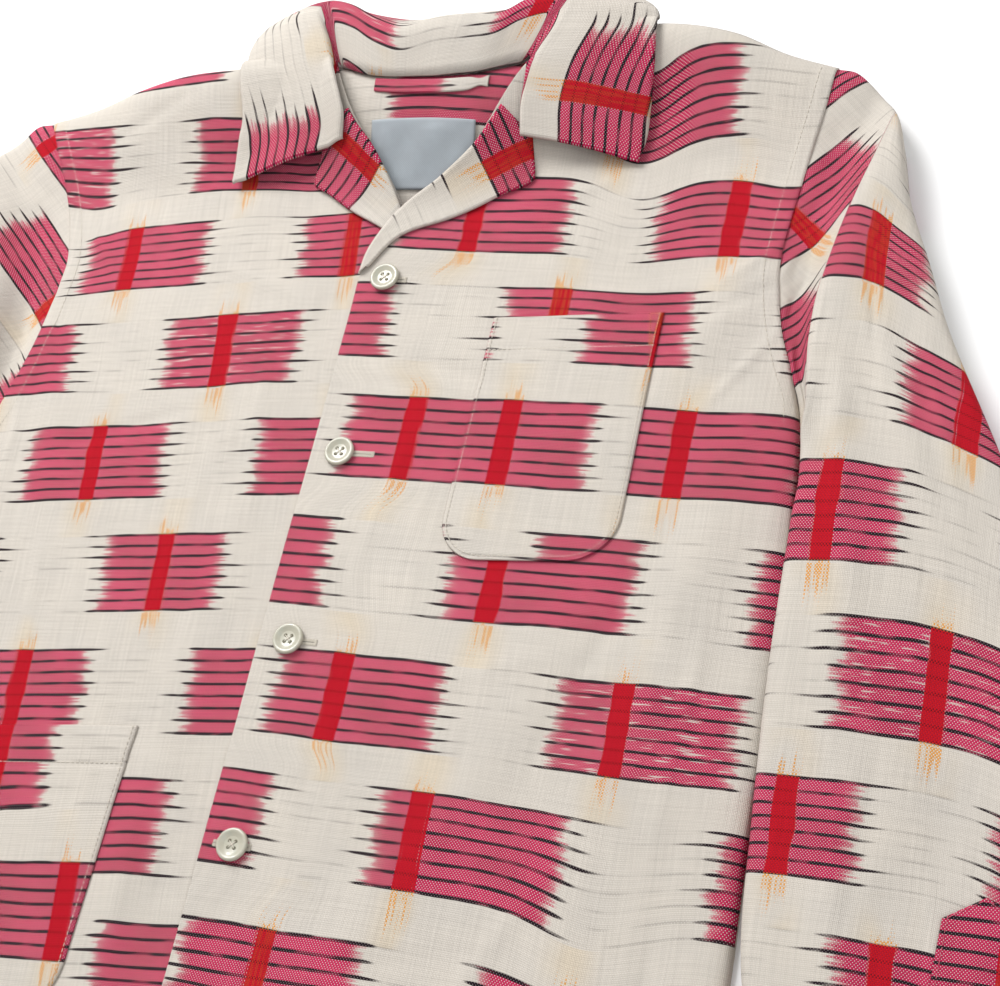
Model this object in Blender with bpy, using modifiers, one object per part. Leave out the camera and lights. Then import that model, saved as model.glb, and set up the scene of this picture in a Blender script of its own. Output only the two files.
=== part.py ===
"""Long-sleeved camp-collar overshirt, laid flat on its back with the sleeves down its sides.

Sizes are in millimetres in the tables and become metres when a mesh is made. +X is the
wearer's left, +Y points to the collar, +Z up off the surface. The tables are written from
the top button, and the whole garment is then centred on its own box.
"""
import bpy
import numpy as np

MM = 0.001

# ---- driving dimensions -------------------------------------------------------------
WALL = 1.2             # body and sleeve cloth
THICK_WALL = 1.5       # collar and cuffs, which are doubled
GAP = 0.3              # between pieces that touch
NECK_ROOM = 0.8        # the collar's seam stands this much above the back's edge
SLOPE_ROOM = 1.0       # more room between the layers where they rise steeply to the neck
SEAM_ROOM = 1.2        # a sleeve's first ring stands this far outside the armhole
LAYER = WALL + GAP     # one more layer of cloth
LOFT = 5.3             # air between the back and the fronts
FOLD_RADIUS = 15.0     # how the fronts round down at the side seams and the shoulders
HEM_Y = -564.0
FRONT_OVERLAP = 19.0   # a front edge lies this far past the button line
BUTTON_PITCH = 116.0
BUTTON_COUNT = 5
BUTTON_DIAMETER = 18.0
BUTTON_THICKNESS = 3.2
BUTTON_HOLE_DIAMETER = 1.9
BUTTON_HOLE_SPACING = 3.6
RISE_LENGTH = 85.0     # the back lifts to the collar over this length
CUFF_LENGTH = 60.0
CUFF_CROWN = 13.5      # the flattened cuff's height where it meets the sleeve
CUFF_BUTTON_DIAMETER = 14.0
CUFF_BUTTON_THICKNESS = 2.8
CUFF_BUTTON_X = 380.0  # on the cuff below the placket

# back's top edge, shoulder to shoulder through the neck: x, y, z of the outer face
TOP_EDGE = (
    (-272, 115, 9), (-237, 123, 13), (-205, 134, 19), (-172, 141, 24), (-138, 143, 27),
    (-100, 146, 28), (-76, 150, 29), (-60, 142, 32), (-30, 133, 35), (6, 130, 36),
    (42, 134, 35), (70, 145, 32), (84, 158, 29), (110, 167, 28), (150, 172, 27),
    (190, 167, 23), (222, 155, 17), (252, 149, 11),
)

# a front's rows from the hem to the shoulder: t, inner x, inner y, outer x, outer y
FRONT_LEFT_ROWS = (
    (0.00, -19, -564, 266, -564), (0.30, -19, -330, 264, -330), (0.62, -19, -85, 261, -88),
    (0.70, -19, -42, 252, -52), (0.76, -19, -12, 241, -18), (0.80, -17, 12, 236, 17),
    (0.86, 1, 49, 238, 52), (0.91, 22, 69, 243, 90), (0.96, 46, 97, 249, 122),
    (1.00, 70, 145, 252, 149),
)
FRONT_RIGHT_ROWS = (
    (0.00, 19, -564, -266, -564), (0.30, 19, -340, -264, -345), (0.60, 19, -115, -261, -150),
    (0.68, 19, -64, -243, -112), (0.76, 19, -18, -228, -45), (0.80, 17, 6, -226, -6),
    (0.86, 1, 46, -230, 20), (0.91, -18, 77, -243, 56), (0.96, -42, 108, -258, 88),
    (1.00, -60, 142, -272, 115),
)

# a lapel's rows from the break to the neck: t, roll x, roll y, edge x, edge y
LAPEL_LEFT_ROWS = (
    (0.00, -18, 3, -14, 8), (0.15, -14, 20, 2, 29), (0.34, 1, 49, 31, 44),
    (0.52, 22, 69, 57, 60), (0.72, 42, 88, 78, 74), (0.86, 50, 99, 76, 86),
    (1.00, 57, 110, 74, 98),
)
LAPEL_RIGHT_ROWS = (
    (0.00, 5, 37, -3, 32), (0.20, -2, 48, -16, 40), (0.36, -12, 66, -36, 50),
    (0.52, -24, 84, -52, 60), (0.74, -37, 98, -65, 69), (0.88, -41, 103, -63, 80),
    (1.00, -44, 107, -60, 91),
)

# collar sections from the wearer's left end to the right: neck xyz, fold xyz, edge xyz
COLLAR_SECTIONS = (
    (70, 95, 22, 71, 95, 25, 142, 84, 12), (70, 108, 27, 70, 108, 32, 145, 104, 17),
    (70, 121, 31, 72, 124, 38, 145, 120, 22), (70, 133, 34, 76, 140, 43, 145, 136, 28),
    (70, 141, 35, 84, 157, 46, 144, 160, 33), (67, 145, 35.5, 90, 174, 48, 140, 180, 31),
    (59, 143, 36, 82, 181, 48, 122, 197, 22), (49, 140, 36.5, 64, 176, 49, 92, 203, 10),
    (36, 136, 37, 50, 167, 49, 58, 203, 5), (22, 134, 37.5, 32, 165, 49, 32, 201, 4),
    (6, 132.5, 37.5, 9, 163, 49, 6, 200, 4), (-12, 132.5, 37.5, -14, 157, 49, -22, 199, 4),
    (-30, 134, 37, -34, 164, 49, -50, 200, 5), (-44, 138, 36.5, -52, 175, 49, -80, 199, 10),
    (-53, 142, 36, -68, 180, 48, -103, 193, 20), (-59, 143, 35, -75, 172, 48, -119, 177, 29),
    (-60, 137, 34.5, -67, 155, 46, -126, 155, 32), (-58, 127, 33, -60, 138, 42, -124, 132, 29),
    (-52, 114, 29, -50, 115, 35, -119, 105, 22), (-47, 101, 25, -46, 101, 29, -121, 84, 16),
    (-47, 90, 22, -47, 90, 25, -121, 66, 12),
)

# armhole seams from the underarm to the shoulder tip: p, x, y
ARMHOLE_LEFT = (
    (0.00, 261, -86), (0.08, 258, -66), (0.17, 250, -46), (0.29, 241, -18), (0.44, 236, 17),
    (0.68, 240, 75), (0.88, 248, 121), (1.00, 252, 149),
)
ARMHOLE_RIGHT = (
    (0.00, -261, -150), (0.09, -256, -130), (0.17, -243, -112), (0.40, -228, -45),
    (0.54, -226, -6), (0.67, -230, 20), (0.80, -243, 56), (0.91, -258, 88), (1.00, -272, 115),
)

# sleeve rings from the armhole to the cuff: t, inner x, inner y, outer x, outer y, crown z.
# The rings fan about the underarm, because the arm is laid down along the side.
SLEEVE_LEFT_RINGS = (
    (0.00, 261.4, -86.4, 252.4, 149.4, 9), (0.03, 262.2, -88, 262, 146, 7),
    (0.06, 262.9, -90, 272, 138, 6), (0.085, 263.4, -92, 280, 129, 11),
    (0.10, 263.8, -94, 288, 118, 20), (0.14, 264.4, -97, 296, 92, 24),
    (0.20, 265, -102, 303, 58, 23), (0.28, 265.6, -110, 319, 14, 22),
    (0.36, 266.3, -122, 334, -28, 22), (0.46, 267.5, -144, 364, -93, 23),
    (0.56, 269, -180, 397, -168, 23), (0.66, 271, -228, 413, -240, 22),
    (0.78, 275, -300, 421, -320, 20), (0.90, 280, -372, 418, -392, 19),
    (1.00, 293, -430, 410, -437, 14),
)
SLEEVE_RIGHT_RINGS = (
    (0.00, -261.4, -150.4, -272.4, 115.4, 9), (0.03, -262.2, -152, -282, 112, 7),
    (0.06, -262.9, -154, -291, 104, 6), (0.085, -263.4, -156, -299, 96, 11),
    (0.10, -263.8, -158, -307, 85, 20), (0.14, -264.4, -161, -315, 60, 24),
    (0.20, -265, -166, -322, 26, 23), (0.28, -265.6, -174, -338, -18, 22),
    (0.36, -266.3, -186, -353, -60, 22), (0.46, -267.5, -208, -380, -125, 23),
    (0.56, -269, -238, -408, -200, 23), (0.66, -271, -278, -421, -270, 22),
    (0.78, -275, -340, -427, -345, 20), (0.90, -280, -404, -424, -414, 19),
    (1.00, -293, -456, -416, -459, 14),
)
RECESS_END = 0.13      # the hollow beside the armhole seam ends at this ring
HEAD_HEIGHT = 17.0     # the sleeve head above the recess

# soft folds of the fronts: x, y, half length, half width, angle in degrees, height
FRONT_FOLDS = (
    (205, -20, 70, 16, 62, 3.0), (215, -190, 120, 17, 80, 2.6), (120, -300, 130, 22, 68, 2.0),
    (60, -470, 110, 20, 84, 2.2), (190, -440, 120, 18, 96, 2.4), (-205, -80, 80, 16, 108, 3.0),
    (-215, -250, 130, 18, 97, 2.4), (-60, -420, 130, 18, 88, 2.0), (-150, -500, 90, 18, 80, 2.0),
    (150, 95, 60, 16, 20, 2.2), (-150, 70, 60, 16, 158, 2.2),
)
# folds of a sleeve: t, p, half length in t, half width in p, height
SLEEVE_FOLDS = (
    (0.30, 0.30, 0.10, 0.10, 3.5), (0.42, 0.62, 0.12, 0.09, 3.0), (0.55, 0.25, 0.14, 0.09, 3.2),
    (0.70, 0.60, 0.14, 0.10, -3.0), (0.86, 0.30, 0.12, 0.10, 3.0), (0.92, 0.72, 0.10, 0.10, 2.6),
)

# pockets: centre x, top y at the centre, width, height, corner radius, slope of the top edge
CHEST_POCKET = (124.5, -20, 101, 154, 26, 0.07)
HIP_POCKET = (-152.0, -299, 152, 160, 30, 0.11)

LABEL = (5.0, 85.0, 69.0, 38.0)        # centre x, centre y, width, height in plan
LOOP_ENDS = (-30.0, 45.0)              # the hang loop is sewn to the neck seam at these x
LOOP_HEIGHT = 8.0
POCKET_ROOM = 0.3
PLACKET = (382.0, -324.0, 38.0, 106.0, 12.0)   # sleeve placket: apex x, apex y, width, length, point


# ---- curves and heights --------------------------------------------------------------
def spline(t, table, column):
    """Smooth value of a table's column at t: cubic pieces with limited end slopes."""
    rows = np.array(table, float)
    knots, values = rows[:, 0], rows[:, column]
    slope = np.diff(values) / np.diff(knots)
    tangent = np.concatenate(([slope[0]], (slope[:-1] + slope[1:]) / 2, [slope[-1]]))
    turns = np.concatenate(([False], slope[:-1] * slope[1:] <= 0, [False]))
    tangent[turns] = 0.0
    t = np.clip(t, knots[0], knots[-1])
    i = np.clip(np.searchsorted(knots, t, side="right") - 1, 0, len(slope) - 1)
    step = (knots[1:] - knots[:-1])[i]
    f = (t - knots[i]) / step
    return ((1 + 2 * f) * (1 - f) ** 2 * values[i] + f * (1 - f) ** 2 * step * tangent[i]
            + f * f * (3 - 2 * f) * values[i + 1] + f * f * (f - 1) * step * tangent[i + 1])


def ease(value):
    """Smooth step from 0 to 1."""
    v = np.clip(value, 0.0, 1.0)
    return v * v * (3 - 2 * v)


def quarter(distance, radius):
    """Quarter-circle rise from 0 at the edge to 1 at the radius."""
    q = np.clip(distance / radius, 0.0, 1.0)
    return np.sqrt(np.maximum(0.0, 1 - (1 - q) ** 2))


def side_x(y, rows):
    """Outer x of a front at a height y, from its rows."""
    table = [(r[4], r[3]) for r in rows]
    return spline(y, table, 1)


def back_height(x, y):
    """Upper face of the back: flat on the surface, and lifted to the collar."""
    edge_y, edge_z = spline(x, TOP_EDGE, 1), spline(x, TOP_EDGE, 2)
    return WALL + (edge_z - WALL) * ease((y - edge_y + RISE_LENGTH) / RISE_LENGTH)


def fold_height(x, y):
    """Sum of the fronts' soft folds."""
    total = np.zeros(np.broadcast(x, y).shape)
    for cx, cy, length, width, angle, height in FRONT_FOLDS:
        c, s = np.cos(np.radians(angle)), np.sin(np.radians(angle))
        along, across = (x - cx) * c + (y - cy) * s, (y - cy) * c - (x - cx) * s
        total = total + height * np.exp(-(along / length) ** 2 - (across / width) ** 2)
    return total


def front_height(x, y):
    """Upper face of a single front above the back, rounded down at its outer edges."""
    rows = np.where(x > 0, side_x(y, FRONT_LEFT_ROWS), -side_x(y, FRONT_RIGHT_ROWS))
    underarm = np.where(x > 0, FRONT_LEFT_ROWS[2][4], FRONT_RIGHT_ROWS[2][4])
    seam = quarter(rows - np.abs(x), FOLD_RADIUS)
    side = np.where(y < underarm, seam, seam + (1 - seam) * ease((y - underarm) / 60))
    shoulder = quarter(spline(x, TOP_EDGE, 1) - y, FOLD_RADIUS)
    hem = 0.45 + 0.55 * quarter(y - HEM_Y, 40.0)
    neck = 1 - 0.5 * np.exp(-((np.abs(x) - 66) ** 2 + (y - 140) ** 2) / 34.0 ** 2)
    away = ease((np.abs(x) - FRONT_OVERLAP - 10) / 30)
    loft = (LOFT + fold_height(x, y) * away) * side * shoulder * hem * neck
    slope_room = SLOPE_ROOM * ease((y - spline(x, TOP_EDGE, 1) + RISE_LENGTH) / RISE_LENGTH)
    return back_height(x, y) + LAYER + slope_room + loft


def over_height(x, y):
    """Upper face of the front that lies on top, raised where the other lapel is under it."""
    lapel_below = np.exp(-((x + 3) / 34.0) ** 2 - ((y - 38) / 38.0) ** 2)
    return front_height(x, y) + 4.5 * lapel_below


def under_height(x, y):
    """Upper face of the front beneath, lowered by a layer where the other covers it."""
    return front_height(x, y) - 2.0 * ease((x + 62) / 36) * ease((100 - y) / 50)


def left_lapel_height(x, y):
    return over_height(x, y) + LAYER


def right_lapel_height(x, y):
    return under_height(x, y) + LAYER + 1.0


# ---- meshes --------------------------------------------------------------------------
def material(name, colour, roughness):
    mat = bpy.data.materials.new(name)
    mat.use_nodes = True
    shader = mat.node_tree.nodes["Principled BSDF"]
    shader.inputs["Base Color"].default_value = (*colour, 1.0)
    shader.inputs["Roughness"].default_value = roughness
    shader.inputs["Metallic"].default_value = 0.0
    return mat


def grid_faces(rows, columns, ring):
    """Quads of a grid. A ring's last column joins its first."""
    i, j = np.meshgrid(np.arange(rows - 1), np.arange(columns if ring else columns - 1), indexing="ij")
    k = (j + 1) % columns
    quads = np.stack([i * columns + j, i * columns + k, (i + 1) * columns + k, (i + 1) * columns + j], -1)
    return quads.reshape(-1, 4)


def cloth(name, points, wall, colour, ring=False, flip=False, even=True):
    """A wall of cloth: the grid is its outer face, and Solidify gives the inner one."""
    rows, columns = points.shape[:2]
    faces = grid_faces(rows, columns, ring)
    if flip:
        faces = faces[:, ::-1]
    mesh = bpy.data.meshes.new(name)
    mesh.from_pydata(((points - CENTRE) * MM).reshape(-1, 3).tolist(), [], faces.tolist())
    mesh.shade_smooth()
    piece = bpy.data.objects.new(name, mesh)
    garment.objects.link(piece)
    solid = piece.modifiers.new("wall", "SOLIDIFY")
    solid.thickness = wall * MM
    solid.offset = -1.0
    solid.use_even_offset = even
    mesh.materials.append(material(name, colour, 0.85))
    return piece


def spread(count, power=1.0):
    """count values from 0 to 1, closer together at both ends when power is above 1."""
    t = np.linspace(-1, 1, count)
    return (np.sign(t) * (1 - (1 - np.abs(t)) ** power) + 1) / 2


def shoulder_bend(x, y):
    """How far a straight top row is bent to lie on the shoulder line."""
    return spline(x, TOP_EDGE, 1) - y


def front_panel(name, rows, height, colour, flip):
    """A front: straight rows between its two edges, with the last bent to the shoulder line."""
    t = np.array((0, .03, .08, .15, .22, .30, .38, .46, .54, .60, .66, .71, .76, .80, .84, .88,
                  .92, .95, .975, .99, 1.0))[:, None]
    s = np.array((0, .05, .12, .20, .28, .36, .44, .52, .60, .68, .76, .84, .90, .945, .975, .992,
                  1.0))[None, :]
    xi, yi, xo, yo = (spline(t, rows, c) for c in (1, 2, 3, 4))
    x, y = xi + (xo - xi) * s, yi + (yo - yi) * s
    y = y + shoulder_bend(x[-1:], y[-1:]) * ease((t - 0.72) / 0.28)
    return cloth(name, np.stack([x, y, height(x, y)], -1), WALL, colour, flip=flip)


def back_panel():
    """The back: rows from side to side, with the last bent to the shoulders and the neck."""
    t = np.array((0, .2, .4, .56, .62, .68, .72, .76, .80, .84, .87, .89, .91, .93, .945, .96, .975,
                  .988, 1.0))[:, None]
    s = spread(27)[None, :]
    left = [spline(t, FRONT_RIGHT_ROWS, c) for c in (3, 4)]
    right = [spline(t, FRONT_LEFT_ROWS, c) for c in (3, 4)]
    x = left[0] + (right[0] - left[0]) * s
    y = left[1] + (right[1] - left[1]) * s
    y = y + shoulder_bend(x[-1:], y[-1:]) * ease((t - 0.72) / 0.28)
    return cloth("back", np.stack([x, y, back_height(x, y)], -1), WALL, CREAM)


def lapel(name, rows, height, flip):
    """A turned-back lapel: it lies on its front and lifts a little at the roll."""
    t = np.linspace(0, 1, 12)[:, None]
    s = np.array((0, .06, .16, .32, .5, .7, .88, 1.0))[None, :]
    rx, ry, ex, ey = (spline(t, rows, c) for c in (1, 2, 3, 4))
    x, y = rx + (ex - rx) * s, ry + (ey - ry) * s
    away = np.hypot(x - rx, y - ry)
    roll = 1.6 * np.exp(-away / 6.0) * ease(np.hypot(ex - rx, ey - ry) / 20)
    return cloth(name, np.stack([x, y, height(x, y) + roll], -1), WALL, RASPBERRY, flip=flip)


def covered_height(x, y):
    """Top of what the collar lies on: a front with its lapel, falling away past the shoulder."""
    left, right = left_lapel_height(x, y), right_lapel_height(x, y)
    past = np.maximum(0, y - spline(x, TOP_EDGE, 1))
    return np.where(x > 0, left, right) - 1.1 * past


def collar():
    """The collar: up from the neck seam, over the fold and down to the outer edge."""
    sections = np.array(COLLAR_SECTIONS, float)
    place = np.linspace(0, 1, len(sections))
    table = np.column_stack([place, sections])
    a = np.linspace(0, 1, 43)[:, None]
    neck, fold, edge = (np.stack([spline(a[:, 0], table, 3 * k + c) for c in (1, 2, 3)], -1)
                        for k in range(3))
    neck[:, 2] += NECK_ROOM
    stand = np.array((0, .4, .8))[None, :, None]
    fall = np.array((.045, .12, .25, .42, .6, .8, 1.0))[None, :, None]
    up = neck[:, None] + (fold[:, None] - neck[:, None]) * stand
    down = fold[:, None] + (edge[:, None] - fold[:, None]) * fall
    down[..., 2] += 5.0 * np.sin(np.pi * np.clip(fall[..., 0], 0, 1)) * 0.6
    points = np.concatenate([up, down], 1)
    points[:, 2, 2] -= 0.4
    limit = covered_height(points[..., 0], points[..., 1]) + GAP + THICK_WALL + 0.4
    low = limit + np.array([1.6, 2.0, 2.4] + [2.4, 1.2, .6, .3, .2, .1, 0])[None, :]
    points[..., 2] = np.maximum(points[..., 2], low)
    return cloth("collar", points, THICK_WALL, CREAM, flip=True, even=False)


def ring_angles(top, bottom):
    """Angles of a flattened ring: over the top from the inner edge, and back beneath."""
    over = np.linspace(0, np.pi, top, endpoint=False)
    under = np.linspace(np.pi, 2 * np.pi, bottom, endpoint=False)
    return np.concatenate([over, under])[None, :]


def sleeve_rings(rows, armhole, height, t, angle):
    """Rings of a sleeve from the armhole to the cuff, with a flat underside."""
    t = t[:, None]
    p = (1 - np.cos(angle)) / 2
    xi, yi, xo, yo, crown = (spline(t, rows, c) for c in (1, 2, 3, 4, 5))
    near = 1 - ease(t / 0.24)
    hx, hy = spline(p, armhole, 1), spline(p, armhole, 2)
    ends = np.array([armhole[0][1:], armhole[-1][1:]], float)
    bow_x = hx - (ends[0, 0] + (ends[1, 0] - ends[0, 0]) * p)
    bow_y = hy - (ends[0, 1] + (ends[1, 1] - ends[0, 1]) * p)
    x = xi + (xo - xi) * p + (bow_x + np.sign(xi) * SEAM_ROOM) * near
    y = yi + (yo - yi) * p + bow_y * near
    recess = 1 - ease((t - 0.02) / RECESS_END)
    head = ease((p - 0.72) / 0.22) * recess
    top = crown + (HEAD_HEIGHT - crown) * head
    for ft, fp, length, width, rise in SLEEVE_FOLDS:
        top = top + rise * np.exp(-((t - ft) / length) ** 2 - ((p - fp) / width) ** 2)
    seam = 1 - ease(t / 0.045)
    top = top + (height(hx, hy) - top) * seam
    floor = (back_height(hx, hy) - WALL) * (1 - ease(t / 0.14))
    middle = floor + 0.42 * (top - floor)
    turn = np.abs(np.sin(angle))
    over = middle + (top - middle) * quarter(turn, 0.62)
    under = middle - (middle - floor) * quarter(turn, 0.5)
    z = np.where(angle <= np.pi, over, under)
    return np.stack([x, y, z], -1)


def sleeve(name, rows, armhole, height, flip):
    t = np.array((0, .02, .04, .06, .08, .095, .115, .15, .20, .26, .33, .41, .49, .57, .66, .75,
                  .84, .92, 1.0))
    points = sleeve_rings(rows, armhole, height, t, ring_angles(14, 10))
    return cloth(name, points, WALL, CREAM, ring=True, flip=flip)


def cuff(name, rows, flip):
    """A cuff: a flattened band that goes on from the sleeve's last ring."""
    inner, inner_y, outer, outer_y = rows[-1][1:5]
    t = np.array((0, .08, .5, .92, 1.0))[:, None]
    angle = ring_angles(12, 10)
    p = (1 - np.cos(angle)) / 2
    x = inner + (outer - inner) * p + 0 * t
    y = inner_y + (outer_y - inner_y) * p - GAP - CUFF_LENGTH * t
    crown = CUFF_CROWN - 1.5 * t
    turn = np.abs(np.sin(angle))
    over = 0.42 * crown + 0.58 * crown * quarter(turn, 0.5)
    under = 0.42 * crown * (1 - quarter(turn, 0.4))
    z = np.where(angle <= np.pi, over, under)
    return cloth(name, np.stack([x, y, z], -1), THICK_WALL, RASPBERRY, ring=True, flip=flip)


def sleeve_placket(name, rows, armhole, height, mirror):
    """The pointed strip at the sleeve's opening, made from the sleeve's own points."""
    apex_x, apex_y, width, length, point = PLACKET
    t = np.linspace(0.70, 1.0, 60)
    angle = np.linspace(0.25, np.pi - 0.25, 120)[None, :]
    grid = sleeve_rings(rows, armhole, height, t, angle)
    s = np.linspace(-1, 1, 7)[None, :]
    v = np.array((0, .06, .2, .4, .6, .8, 1.0))[:, None]
    side = -1 if mirror else 1
    drop = rows[-1][4] - SLEEVE_LEFT_RINGS[-1][4]
    x = side * (apex_x + s * width / 2 - 6 * v)
    y = apex_y + drop - point * np.abs(s) * (1 - v) - length * v
    flat = grid.reshape(-1, 3)
    distance = (flat[None, None, :, 0] - x[..., None]) ** 2 + (flat[None, None, :, 1] - y[..., None]) ** 2
    near = np.argpartition(distance, 6, axis=-1)[..., :6]
    z = np.take_along_axis(np.broadcast_to(flat[:, 2], distance.shape), near, -1).max(-1) + LAYER + 0.5
    return cloth(name, np.stack([x, y, z], -1), WALL, CREAM, flip=not mirror)


def patch_pocket(name, sizes, height):
    """A patch pocket with round bottom corners, made from its front's points, moved out."""
    cx, top_y, width, depth, radius, slope = sizes
    v = np.array((0, .1, .25, .4, .55, .7, .82, .90, .95, .985, 1.0))[:, None]
    s = np.linspace(-1, 1, 11)[None, :]
    into_corner = np.clip((v * depth - (depth - radius)) / radius, 0, 1)
    half = width / 2 - radius * (1 - np.sqrt(np.maximum(0, 1 - into_corner ** 2)))
    x = cx + s * half - 1.5 * v
    y = top_y + slope * (x - cx) - v * depth
    z = height(x, y) + LAYER + POCKET_ROOM
    return cloth(name, np.stack([x, y, z], -1), WALL, CREAM, flip=True)


def inside_patch(name, x, y, lift, wall, colour, bulge=0.0):
    """A patch on the inside of the back, above its upper face."""
    z = back_height(x, y) + GAP + wall + lift + bulge
    return cloth(name, np.stack([x, y, z], -1), wall, colour)


def button(name, x, y, z, diameter, thickness):
    """A four-hole button with a round rim and a dished middle, turned and then drilled."""
    r = diameter / 2 * MM
    h = thickness * MM
    profile = ((0.0, .55), (.30, .56), (.52, .62), (.66, .82), (.78, .97), (.88, 1.0), (.96, .9),
               (1.0, .68), (.985, .45), (.88, .2), (.62, .02), (.3, 0.0), (0.0, 0.0))
    mesh = bpy.data.meshes.new(name)
    mesh.from_pydata([(a * r, 0.0, b * h) for a, b in profile], [(i, i + 1) for i in range(len(profile) - 1)], [])
    piece = bpy.data.objects.new(name, mesh)
    garment.objects.link(piece)
    turned = piece.modifiers.new("turn", "SCREW")
    turned.steps = turned.render_steps = 20
    turned.use_merge_vertices = True
    turned.merge_threshold = 0.00001
    for k, (sx, sy) in enumerate(((1, 1), (1, -1), (-1, 1), (-1, -1))):
        bpy.ops.mesh.primitive_cylinder_add(vertices=8, radius=BUTTON_HOLE_DIAMETER / 2 * MM, depth=4 * h)
        drill = bpy.context.object
        drill.name = f"{name}_drill_{k}"
        offset = BUTTON_HOLE_SPACING / 2 * MM * diameter / BUTTON_DIAMETER
        drill.location = (sx * offset, sy * offset, h / 2)
        drill.parent = piece
        drill.hide_render = True
        drill.display_type = "WIRE"
        for owner in drill.users_collection:
            owner.objects.unlink(drill)
        cutters.objects.link(drill)
        cut = piece.modifiers.new("hole", "BOOLEAN")
        cut.operation = "DIFFERENCE"
        cut.object = drill
    piece.location = (np.array((x, y, z)) - CENTRE) * MM
    mesh.materials.append(material(name, (0.86, 0.84, 0.74), 0.25))
    return piece


def top_over(height, x, y, radius):
    """Highest point of a face under a round piece, all over its footprint."""
    angle = np.linspace(0, 2 * np.pi, 16)
    rings = np.array((0.0, 0.5, 1.0))[:, None] * radius
    return float(height(x + rings * np.cos(angle), y + rings * np.sin(angle)).max())


# ---- the garment ---------------------------------------------------------------------
for old in list(bpy.data.objects):
    bpy.data.objects.remove(old)
garment = bpy.data.collections.new("overshirt")
cutters = bpy.data.collections.new("cutters")
bpy.context.scene.collection.children.link(garment)
bpy.context.scene.collection.children.link(cutters)

CREAM = (0.80, 0.75, 0.64)
RASPBERRY = (0.62, 0.05, 0.13)
widest = [max(r[3] for r in SLEEVE_LEFT_RINGS), min(r[3] for r in SLEEVE_RIGHT_RINGS)]
highest = max(s[7] for s in COLLAR_SECTIONS)
CENTRE = np.array((sum(widest) / 2, (highest + HEM_Y) / 2, 0.0))

back_panel()
front_panel("front_left", FRONT_LEFT_ROWS, over_height, CREAM, flip=False)
front_panel("front_right", FRONT_RIGHT_ROWS, under_height, CREAM, flip=True)
lapel("lapel_left", LAPEL_LEFT_ROWS, left_lapel_height, flip=True)
lapel("lapel_right", LAPEL_RIGHT_ROWS, right_lapel_height, flip=False)
collar()
sleeve("sleeve_left", SLEEVE_LEFT_RINGS, ARMHOLE_LEFT, front_height, flip=True)
sleeve("sleeve_right", SLEEVE_RIGHT_RINGS, ARMHOLE_RIGHT, front_height, flip=False)
cuff("cuff_left", SLEEVE_LEFT_RINGS, flip=True)
cuff("cuff_right", SLEEVE_RIGHT_RINGS, flip=False)
sleeve_placket("sleeve_placket_left", SLEEVE_LEFT_RINGS, ARMHOLE_LEFT, front_height, mirror=False)
sleeve_placket("sleeve_placket_right", SLEEVE_RIGHT_RINGS, ARMHOLE_RIGHT, front_height, mirror=True)
patch_pocket("chest_pocket", CHEST_POCKET, over_height)
patch_pocket("hip_pocket", HIP_POCKET, under_height)

label_x = LABEL[0] + np.linspace(-0.5, 0.5, 8)[None, :] * LABEL[2]
label_y = LABEL[1] + np.linspace(-0.5, 0.5, 6)[:, None] * LABEL[3]
label_x, label_y = np.broadcast_arrays(label_x, label_y)
inside_patch("label", label_x, label_y, 0.45, 1.0, (0.52, 0.58, 0.64))

loop_s = np.linspace(0, 1, 14)[None, :]
loop_x = LOOP_ENDS[0] + (LOOP_ENDS[1] - LOOP_ENDS[0]) * loop_s
loop_drop = np.linspace(1, 0, 4)[:, None] * LOOP_HEIGHT
loop_x, loop_drop = np.broadcast_arrays(loop_x, loop_drop)
loop_y = spline(loop_x, TOP_EDGE, 1) - 3.0 - loop_drop
inside_patch("hang_loop", loop_x, loop_y, 0.0, 1.0, RASPBERRY, bulge=1.0 * np.sin(np.pi * loop_s))

for number in range(BUTTON_COUNT):
    button_y = -number * BUTTON_PITCH
    seat = top_over(over_height, 0.0, button_y, BUTTON_DIAMETER / 2)
    button(f"button_{number + 1}", 0.0, button_y, seat + GAP, BUTTON_DIAMETER, BUTTON_THICKNESS)
for side, rows in (("left", SLEEVE_LEFT_RINGS), ("right", SLEEVE_RIGHT_RINGS)):
    button_x = CUFF_BUTTON_X if side == "left" else -CUFF_BUTTON_X
    button_y = (rows[-1][2] + rows[-1][4] - CUFF_LENGTH) / 2
    button(f"cuff_button_{side}", button_x, button_y, CUFF_CROWN + GAP, CUFF_BUTTON_DIAMETER,
           CUFF_BUTTON_THICKNESS)
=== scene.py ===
"""The looks of a camp-collar overshirt that lies flat on its back, with its sleeves at its sides.

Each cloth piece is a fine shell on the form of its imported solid. Lengths are millimetres from
the top button, +X to the wearer's left, +Y to the collar and +Z up, until a mesh is made. The
dyed pattern follows each piece's own cut, which its UV map holds in metres of cloth: u along
the weft and v along the warp.
"""
import bpy
import numpy as np
from mathutils import Matrix, Vector


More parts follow.
